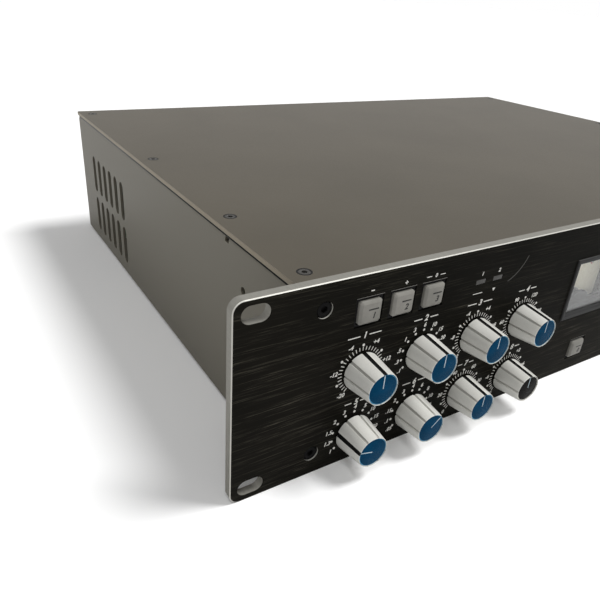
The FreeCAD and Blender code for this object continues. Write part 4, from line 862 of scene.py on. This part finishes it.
def build_indicators():
    """Four smoked lenses with soft edges, flush with the panel."""
    lenses = [softened(slab(low, high), 0.35 * MM, 3) for low, high in solids("indicator_windows")]
    add_piece("indicator_lenses", closed(gathered(lenses), sharp=50), "chassis", "indicator_grey", LENS,
              replaces=("indicator_windows",))


def screw_form(**millimetres):
    """A socket screw round +Z with the top of its head at zero, from its radii, heights and edge."""
    parts = ("head", "height", "under", "shank", "length", "socket", "edge")
    head, height, under, shank, length, socket, edge = (millimetres[part] * MM for part in parts)
    rings = [(-length, 0), (-length, shank * 0.8), (0.3 * MM - length, shank), (-height, shank),
             (-height, under), (-edge, head), (0, head - edge), (0, hexagon(socket + 0.15 * MM)),
             (-0.15 * MM, hexagon(socket)), (-0.62 * height, hexagon(socket)), (-0.75 * height, 0)]
    mesh = closed(lathe(rings, even_angles(48), Matrix.Identity(4)), "screw", sharp=28)
    return bpy.data.objects.new("screw", mesh)


def build_screws(name, node, turn, coat, form, top, replaces=True):
    """One form for every screw of a node as one piece, each at the place of its solid."""
    places = bpy.data.meshes.new("places")
    places.from_pydata([top(low, high) for low, high in solids(node)], [], [])
    mesh = REPEAT.grow(coat, places, Form=form, Turn=turn, Size=1.0)
    bpy.data.objects.remove(form)
    mesh.shade_smooth()
    mesh.set_sharp_from_angle(angle=math.radians(28))
    add_piece(name, mesh, "chassis", "black_steel", replaces=(node,) if replaces else ())


def seat_form():
    """A flat ring round +Z with its top at zero; round the cover screws it is painted shade in the gap of
    each hole.
    """
    inner, outer, base = 2.35 * MM, 2.98 * MM, -0.3 * MM
    rings = [(base, inner), (base, outer), (0, outer), (0, inner)]
    mesh = closed(lathe(rings + rings[:1], even_angles(48), Matrix.Identity(4)), "seat", sharp=28)
    return bpy.data.objects.new("seat", mesh)


def build_all_screws():
    """Every screw that shows, with dark rings round those of the cover as painted shade in the gap of each
    hole.
    """
    forwards, backwards = (math.pi / 2, 0, 0), (-math.pi / 2, 0, 0)

    def on_cover(low, high):
        return middle((low, high)).x, middle((low, high)).y, high.z

    def on_panel(low, high):
        return middle((low, high)).x, low.y, middle((low, high)).z

    def on_rear(low, high):
        return middle((low, high)).x, high.y, middle((low, high)).z

    form = screw_form(head=2.4, height=1.5, under=1.5, shank=1.5, length=6.0, socket=1.2, edge=0.22)
    build_screws("cover_countersunk_screws", "cover_screws", (0, 0, 0.26), SCREW_BLACK, form, on_cover)
    # deep black rings round the cover screw heads: painted shade in the gap of each hole
    build_screws("cover_screw_seats", "cover_screws", (0, 0, 0), DEEP_BLACK, seat_form(), on_cover,
                 replaces=False)
    form = screw_form(head=3.1, height=1.9, under=3.1, shank=2.0, length=8.0, socket=1.5, edge=0.3)
    build_screws("panel_cap_screws", "front_panel_screws", forwards, SCREW_DARK, form, on_panel)
    for name, node in (("rear_cap_screws", "rear_panel_screws"), ("socket_fixing_screws", "socket_screws")):
        form = screw_form(head=2.6, height=1.3, under=2.6, shank=1.4, length=6.0, socket=1.0, edge=0.35)
        build_screws(name, node, backwards, SCREW_DARK, form, on_rear)


def build_cover_seals():
    """Black strips in the joint between the cover and the rounded shoulders of the tray: painted shade
    standing in for the shadow in that gap.
    """
    low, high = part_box("top_cover")
    shade_bars = []
    for side in (-1, 1):
        outer, inner = side * (high.x - 0.1 * MM), side * (high.x - 2.3 * MM)
        shade_bars.append(softened(slab((min(outer, inner), low.y + 0.6 * MM, low.z - 1.0 * MM),
                                   (max(outer, inner), high.y - 5 * MM, low.z)), 0.1 * MM, 1))
    # black strips as painted shade along the cover's joint
    add_piece("cover_seals", closed(gathered(shade_bars), sharp=50), "chassis", "black_plastic", DEEP_BLACK)


WIDEST_PIN = 3 * MM
WIDEST_BLADE = 8 * MM


def build_contacts():
    """Silvered sleeves on the round pins of the plugs and on the blades of the mains inlet."""
    skin = 0.02 * MM
    pins = []
    for low, high in solids("output_sockets"):
        if high.x - low.x < WIDEST_PIN:
            radius, length = (high.x - low.x) / 2 + skin, high.y - low.y
            rings = [(0, 0), (0, radius), (length - 0.5 * radius, radius),
                     (length - 0.1 * radius, 0.7 * radius), (length + skin, 0.3 * radius),
                     (length + skin, 0)]
            centre = middle((low, high))
            place = facing_front(centre.x, centre.z, low.y) @ Matrix.Rotation(math.pi, 4, "X")
            pins.append(closed(lathe(rings, even_angles(20), place), sharp=40))
    grow = Vector((skin, skin, skin))
    pins += [softened(slab(low - grow, high + grow), 0.3 * MM, 2) for low, high in solids("mains_inlet")
             if high.x - low.x < WIDEST_BLADE]
    add_piece("plug_and_inlet_contacts", closed(gathered(pins), sharp=40), "chassis", "plain_steel", CONTACT)


# ---------------------------------------------------------------- print on the panel
def ring_of(coat, centre, front, count, first, step, radius, width, length, round_marks=False):
    """Marks round a centre on a face, their angles in degrees clockwise from the top."""
    return MARKS.grow(coat, Centre=(centre[0], front - INK / 2, centre[1]), Count=count,
                      First_Angle=math.radians(first), Step_Angle=math.radians(step), Ring_Radius=radius,
                      Mark_Width=width, Mark_Length=length, Mark_Depth=INK, Round=round_marks)


def figures_round(centre, words, first, step, radius, front=FRONT, lean=0.22):
    """Numbers set round a dial or a scale."""
    meshes = []
    for order, word in enumerate(words):
        angle = math.radians(first + order * step)
        across, up = centre[0] + radius * math.sin(angle), centre[1] + radius * math.cos(angle)
        meshes.append(numeral(word, across, up, 1.9 * MM, front, lean))
    return meshes


def swept_dial(centre, words):
    """Close ticks with a dot over every sixth and numbers between the dots."""
    marks = [ring_of(WHITE_INK, centre, FRONT, 31, -140, 28 / 3, 9.9 * MM, 0.34 * MM, 1.75 * MM),
             ring_of(WHITE_INK, centre, FRONT, 5, -112, 56, 11.6 * MM, 1.2 * MM, 1.2 * MM, True)]
    return marks + figures_round(centre, words, -140, 56, 13.0 * MM)


def stepped_dial(centre, words):
    """A dot at each of eleven places and a number outside it."""
    dots = ring_of(WHITE_INK, centre, FRONT, 11, -125, 25, 10.3 * MM, 1.15 * MM, 1.15 * MM, True)
    return [dots] + figures_round(centre, words, -125, 25, 12.6 * MM)


def title(centre, up, order, half):
    """A numeral between two thin lines."""
    gap = 2.2 * MM
    sides = [stroke(centre[0] + side * (half + gap) / 2, up, half - gap, 0.42 * MM) for side in (-1, 1)]
    return sides + [numeral(str(order), centre[0], up, 2.7 * MM)]


# Each dial's marks, numbers, number over it and half the width of its title in millimetres.
DIALS = {
    "threshold": (swept_dial, ("-20", "-12", "-4", "+4", "+12", "+20"), 1, 8.0),
    "attack": (stepped_dial, (".1", ".3", ".5", "1", "3", "6", "10", "15", "20", "25", "30"), 2, 6.5),
    "make_up": (swept_dial, ("-12", "-8", "-4", "+4", "+8", "+12"), 3, 7.5),
    "filter": (swept_dial, ("20", "60", "90", "120", "185", "250"), 4, 6.0),
    "ratio": (stepped_dial, ("1", "1.3", "1.5", "2", "3", "4", "5", "10", "15", "20", "25"), 5, 5.5),
    "release": (stepped_dial, (".05", ".1", ".15", "2", "3", "4", "6", "8", "10", "12", "15"), 6, 6.5),
    "mix": (swept_dial, ("0", "20", "40", "60", "80", "100"), 7, 5.0),
    "trim": (swept_dial, ("-10", "-6", "-2", "+2", "+6", "+10"), 8, 5.5),
}


def build_panel_print(channel):
    """Every dial, number and line of one channel, printed in white."""
    meshes = []
    for name, (dial, words, order, half) in DIALS.items():
        spot = JOINTS[f"turn_{name}_{channel}"]["pos_m"]
        centre = (spot[0], spot[2])
        meshes += dial(centre, words)
        lift = (15.9 if order <= 4 else 15.2) * MM
        meshes += title(centre, centre[1] + lift, order, half * MM)
    keys = [middle(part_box(f"key_{name}_{channel}")) for name in ("first", "second", "third")]
    mark = keys[0].z + 8.5 * MM
    meshes += [stroke(keys[0].x + 0.5 * MM, mark, 1.5 * MM, 0.4 * MM),
               stroke(keys[1].x + 0.8 * MM, mark, 1.5 * MM, 0.4 * MM),
               stroke(keys[1].x + 0.8 * MM, mark, 0.4 * MM, 1.5 * MM)]
    third = keys[2].x
    meshes += [stroke(third + side * 3.6 * MM, mark, 2.6 * MM, 0.3 * MM) for side in (-1, 1)]
    meshes += [numeral("0", third, mark, 1.6 * MM)]
    lamps = [middle(ends) for ends in solids("indicator_windows")][2 * channel - 2:2 * channel]
    for order, lamp in enumerate(lamps, start=1):
        meshes.append(numeral(str(order), lamp.x, lamp.z + 3.7 * MM, 1.7 * MM))
    drop = lamps[0].z - 5.4 * MM
    meshes.append(stroke(lamps[0].x - 0.5 * MM, drop, 5.6 * MM, 0.3 * MM))
    corners = ((-1.9 * MM, 0.75 * MM), (-0.1 * MM, 0.75 * MM), (-1.0 * MM, -0.75 * MM))
    arrow = loft([[(lamps[1].x + across, back, drop + up) for across, up in corners]
                  for back in (FRONT, FRONT - INK)])
    meshes.append(closed(arrow))
    print_mesh = closed(gathered(meshes), sharp=30)
    add_piece(f"panel_print_{channel}", print_mesh, "chassis", "panel_black", WHITE_INK)
    arc = arc_band(lamps[1].x - 0.2 * MM, lamps[1].z + 14.7 * MM, 19.4 * MM, 0.45 * MM, 112, 157, FRONT)
    add_piece(f"panel_faint_arc_{channel}", arc, "chassis", "panel_black", GREY_INK)


def build_window_lips():
    """A pale hair along the top edge of every key window: a painted highlight where that edge catches the
    light.
    """
    lit_edges = []
    for channel, name in KEYS:
        low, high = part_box(f"key_{name}_{channel}")
        top = high.z + WINDOW_GAP
        lit_edges.append(closed(slab((low.x - WINDOW_GAP, FRONT - 0.04 * MM, top),
                                (high.x + WINDOW_GAP, FRONT, top + 0.16 * MM))))
    add_piece("key_window_lips", closed(gathered(lit_edges)), "chassis", "panel_black", WINDOW_HIGHLIGHT)


# ---------------------------------------------------------------- meters
def build_bezels():
    """Black frames with a soft outer edge and a sloped inner one."""
    meshes = []
    for low, high in solids("meter_bezels"):
        steps = [(0.0, high.y), (0.0, low.y + 0.4 * MM), (0.4 * MM, low.y), (2.0 * MM, low.y),
                 (2.95 * MM, low.y + 0.9 * MM), (2.95 * MM, high.y)]
        loops = [frame_loop(low, high, inset, back) for inset, back in steps]
        meshes.append(softened(loft(loops, closed_ends=False), 0.18 * MM, 2))
    add_piece("meter_frames", closed(gathered(meshes), sharp=50), "chassis", "black_plastic", BLACK_PLASTIC,
              replaces=("meter_bezels",))


SWING = 42.0  # degrees that a needle turns to either side of the top


def build_meter_print():
    """Arc, ticks and numbers on both meter cards, and the dark hood over each pivot."""
    dark, red, hoods = [], [], []
    for channel, (card, _) in enumerate(solids("meter_scales"), start=1):
        pivot = JOINTS[f"swing_needle_{channel}"]["pos_m"]
        across, up, front = pivot[0], pivot[2], card.y
        centre = (across, up)
        dark += [arc_band(across, up, 19.2 * MM, 0.25 * MM, -SWING, SWING, front),
                 ring_of(DARK_INK, centre, front, 21, -SWING, SWING / 10, 19.8 * MM, 0.22 * MM, 1.1 * MM),
                 ring_of(DARK_INK, centre, front, 6, -SWING, SWING / 2.5, 20.1 * MM, 0.45 * MM, 1.7 * MM)]
        dark += figures_round(centre, ("0", "4", "8", "12", "16", "20"), -SWING, SWING / 2.5, 22.4 * MM,
                              front, lean=0.0)
        red.append(arc_band(across, up, 18.5 * MM, 0.7 * MM, SWING / 5, SWING, front))
        outline = [(-20.5, -4.5), (20.5, -4.5), (20.5, -2.4), (8.5, -2.4), (6.0, 0.6), (2.8, 2.4),
                   (-2.8, 2.4), (-6.0, 0.6), (-8.5, -2.4), (-20.5, -2.4)]
        hood = loft([[(across + x * MM, front - back * MM, up + z * MM) for x, z in outline]
                     for back in (4.2, 6.0)])
        hoods.append(softened(hood, 0.25 * MM, 2))
    add_piece("meter_card_print", closed(gathered(dark), sharp=30), "chassis", "scale_card", DARK_INK)
    add_piece("meter_card_red_arcs", closed(gathered(red), sharp=30), "chassis", "scale_card", RED_INK)
    hood_mesh = closed(gathered(hoods), sharp=50)
    add_piece("meter_pivot_hoods", hood_mesh, "chassis", "black_plastic", BLACK_PLASTIC)


# ---------------------------------------------------------------- stage
def paint_stage(name, colour, glow):
    """A pale matt stage that the camera, gloss and glass see a little brighter than it is lit."""
    surface = Surface(name, Roughness=0.9, Specular_IOR_Level=0.0)
    cloud = surface.noise(0.5, detail=2)
    surface.set("Base Color", surface.mix(cloud, colour, tuple(0.995 * part for part in colour)))
    surface.set("Emission Color", (1, 1, 1, 1))
    surface.set("Emission Strength", surface.math("MULTIPLY", surface.looked_at(), glow))
    return surface.material


FLOOR_SIZE = 60.0
DIM_WORLD = 0.27  # how strongly the world lights the unit; looked at, it is 1


def set_stage():
    """White floor under the object, far enough out to meet the white world."""
    low = cad_box[0]
    shape = bmesh.new()
    bmesh.ops.create_grid(shape, x_segments=2, y_segments=2, size=FLOOR_SIZE,
                          matrix=Matrix.Translation((0, 0, low[2])))
    mesh = bpy.data.meshes.new("floor")
    shape.to_mesh(mesh)
    shape.free()
    mesh.materials.append(paint_stage("white floor", (0.97, 0.97, 0.97), 0.04))
    floor = bpy.data.objects.new("floor", mesh)
    bpy.context.scene.collection.objects.link(floor)


def set_world():
    """Even studio light, and white where the camera, gloss or glass looks past the floor."""
    world = bpy.data.worlds.new("studio")
    world.use_nodes = True
    wiring = Wiring(world.node_tree)
    world.node_tree.nodes.clear()
    strength = wiring.math("MULTIPLY_ADD", wiring.looked_at(), 1 - DIM_WORLD, DIM_WORLD)
    light = wiring.add("ShaderNodeBackground", {"Color": (1, 1, 1, 1), "Strength": strength})
    wiring.add("ShaderNodeOutputWorld", {"Surface": light.outputs[0]})
    bpy.context.scene.world = world


def soft_lamp(name, place, target, size, power):
    """A round soft box of this width and power."""
    lamp = bpy.data.lights.new(name, "AREA")
    lamp.shape = "DISK"
    lamp.size = size
    lamp.energy = power
    aim_lamp(name, lamp, place, target)


def aim_lamp(name, lamp, place, target):
    """Hangs a lamp at a place, turned to its target and hidden from the camera."""
    holder = bpy.data.objects.new(name, lamp)
    holder.visible_camera = False
    holder.location = place
    holder.rotation_euler = (Vector(target) - Vector(place)).to_track_quat("-Z", "Y").to_euler()
    bpy.context.scene.collection.objects.link(holder)


def set_lamps():
    """A broad high light from the right, a soft one over the left front and one for the rear corner."""
    high = bpy.data.lights.new("high_light", "SUN")
    high.energy = 2.85
    high.angle = math.radians(22)
    aim_lamp("high_light", high, (0.62, -0.22, 1.0), (0, 0, 0))
    soft_lamp("left_light", (-0.6, -0.4, 1.1), (-0.15, 0, 0), 0.5, 3.5)
    soft_lamp("corner_light", (-0.7, 1.5, 0.3), (-0.2, 0.3, 0), 0.35, 2)


CAMERA_ANGLES = (33.674, 27.919, 4.326)  # yaw, pitch and roll in degrees
CAMERA_PLACE = (-0.311619, -0.147305, 0.130945)
CAMERA_LENS = 34.78


def set_camera():
    """Close above the left front corner, looking down along the panel."""
    yaw, pitch, roll = (math.radians(angle) for angle in CAMERA_ANGLES)
    ahead = Vector((math.sin(yaw) * math.cos(pitch), math.cos(yaw) * math.cos(pitch), -math.sin(pitch)))
    level = Vector((math.cos(yaw), -math.sin(yaw), 0))
    rise = level.cross(ahead)
    right = level * math.cos(roll) + rise * math.sin(roll)
    top = rise * math.cos(roll) - level * math.sin(roll)
    camera = bpy.data.cameras.new("camera")
    camera.sensor_width = 36
    camera.lens = CAMERA_LENS
    camera.clip_start = 0.01
    holder = bpy.data.objects.new("camera", camera)
    turn = Matrix((right, top, -ahead)).transposed().to_4x4()
    holder.matrix_world = Matrix.Translation(CAMERA_PLACE) @ turn
    bpy.context.scene.collection.objects.link(holder)
    bpy.context.scene.camera = holder


# ---------------------------------------------------------------- the whole unit
REST_TURNS = {"ratio": -75.0, "release": 50.0}
LEGENDS = {"first": "1", "second": "2", "third": "3", "in": "0"}

for channel in CHANNELS:
    for name in DIALS:
        build_knob(name, channel, REST_TURNS.get(name, 0.0), CAP_BLACK if name == "trim" else CAP_BLUE)
for channel, name in KEYS:
    build_key(f"key_{name}_{channel}", LEGENDS[name])
build_collars()
build_indicators()
build_all_screws()
build_cover_seals()
build_contacts()
for channel in CHANNELS:
    build_panel_print(channel)
build_window_lips()
build_bezels()
build_meter_print()
set_stage()
set_world()
set_lamps()
set_camera()
bpy.context.scene.view_settings.view_transform = "Standard"
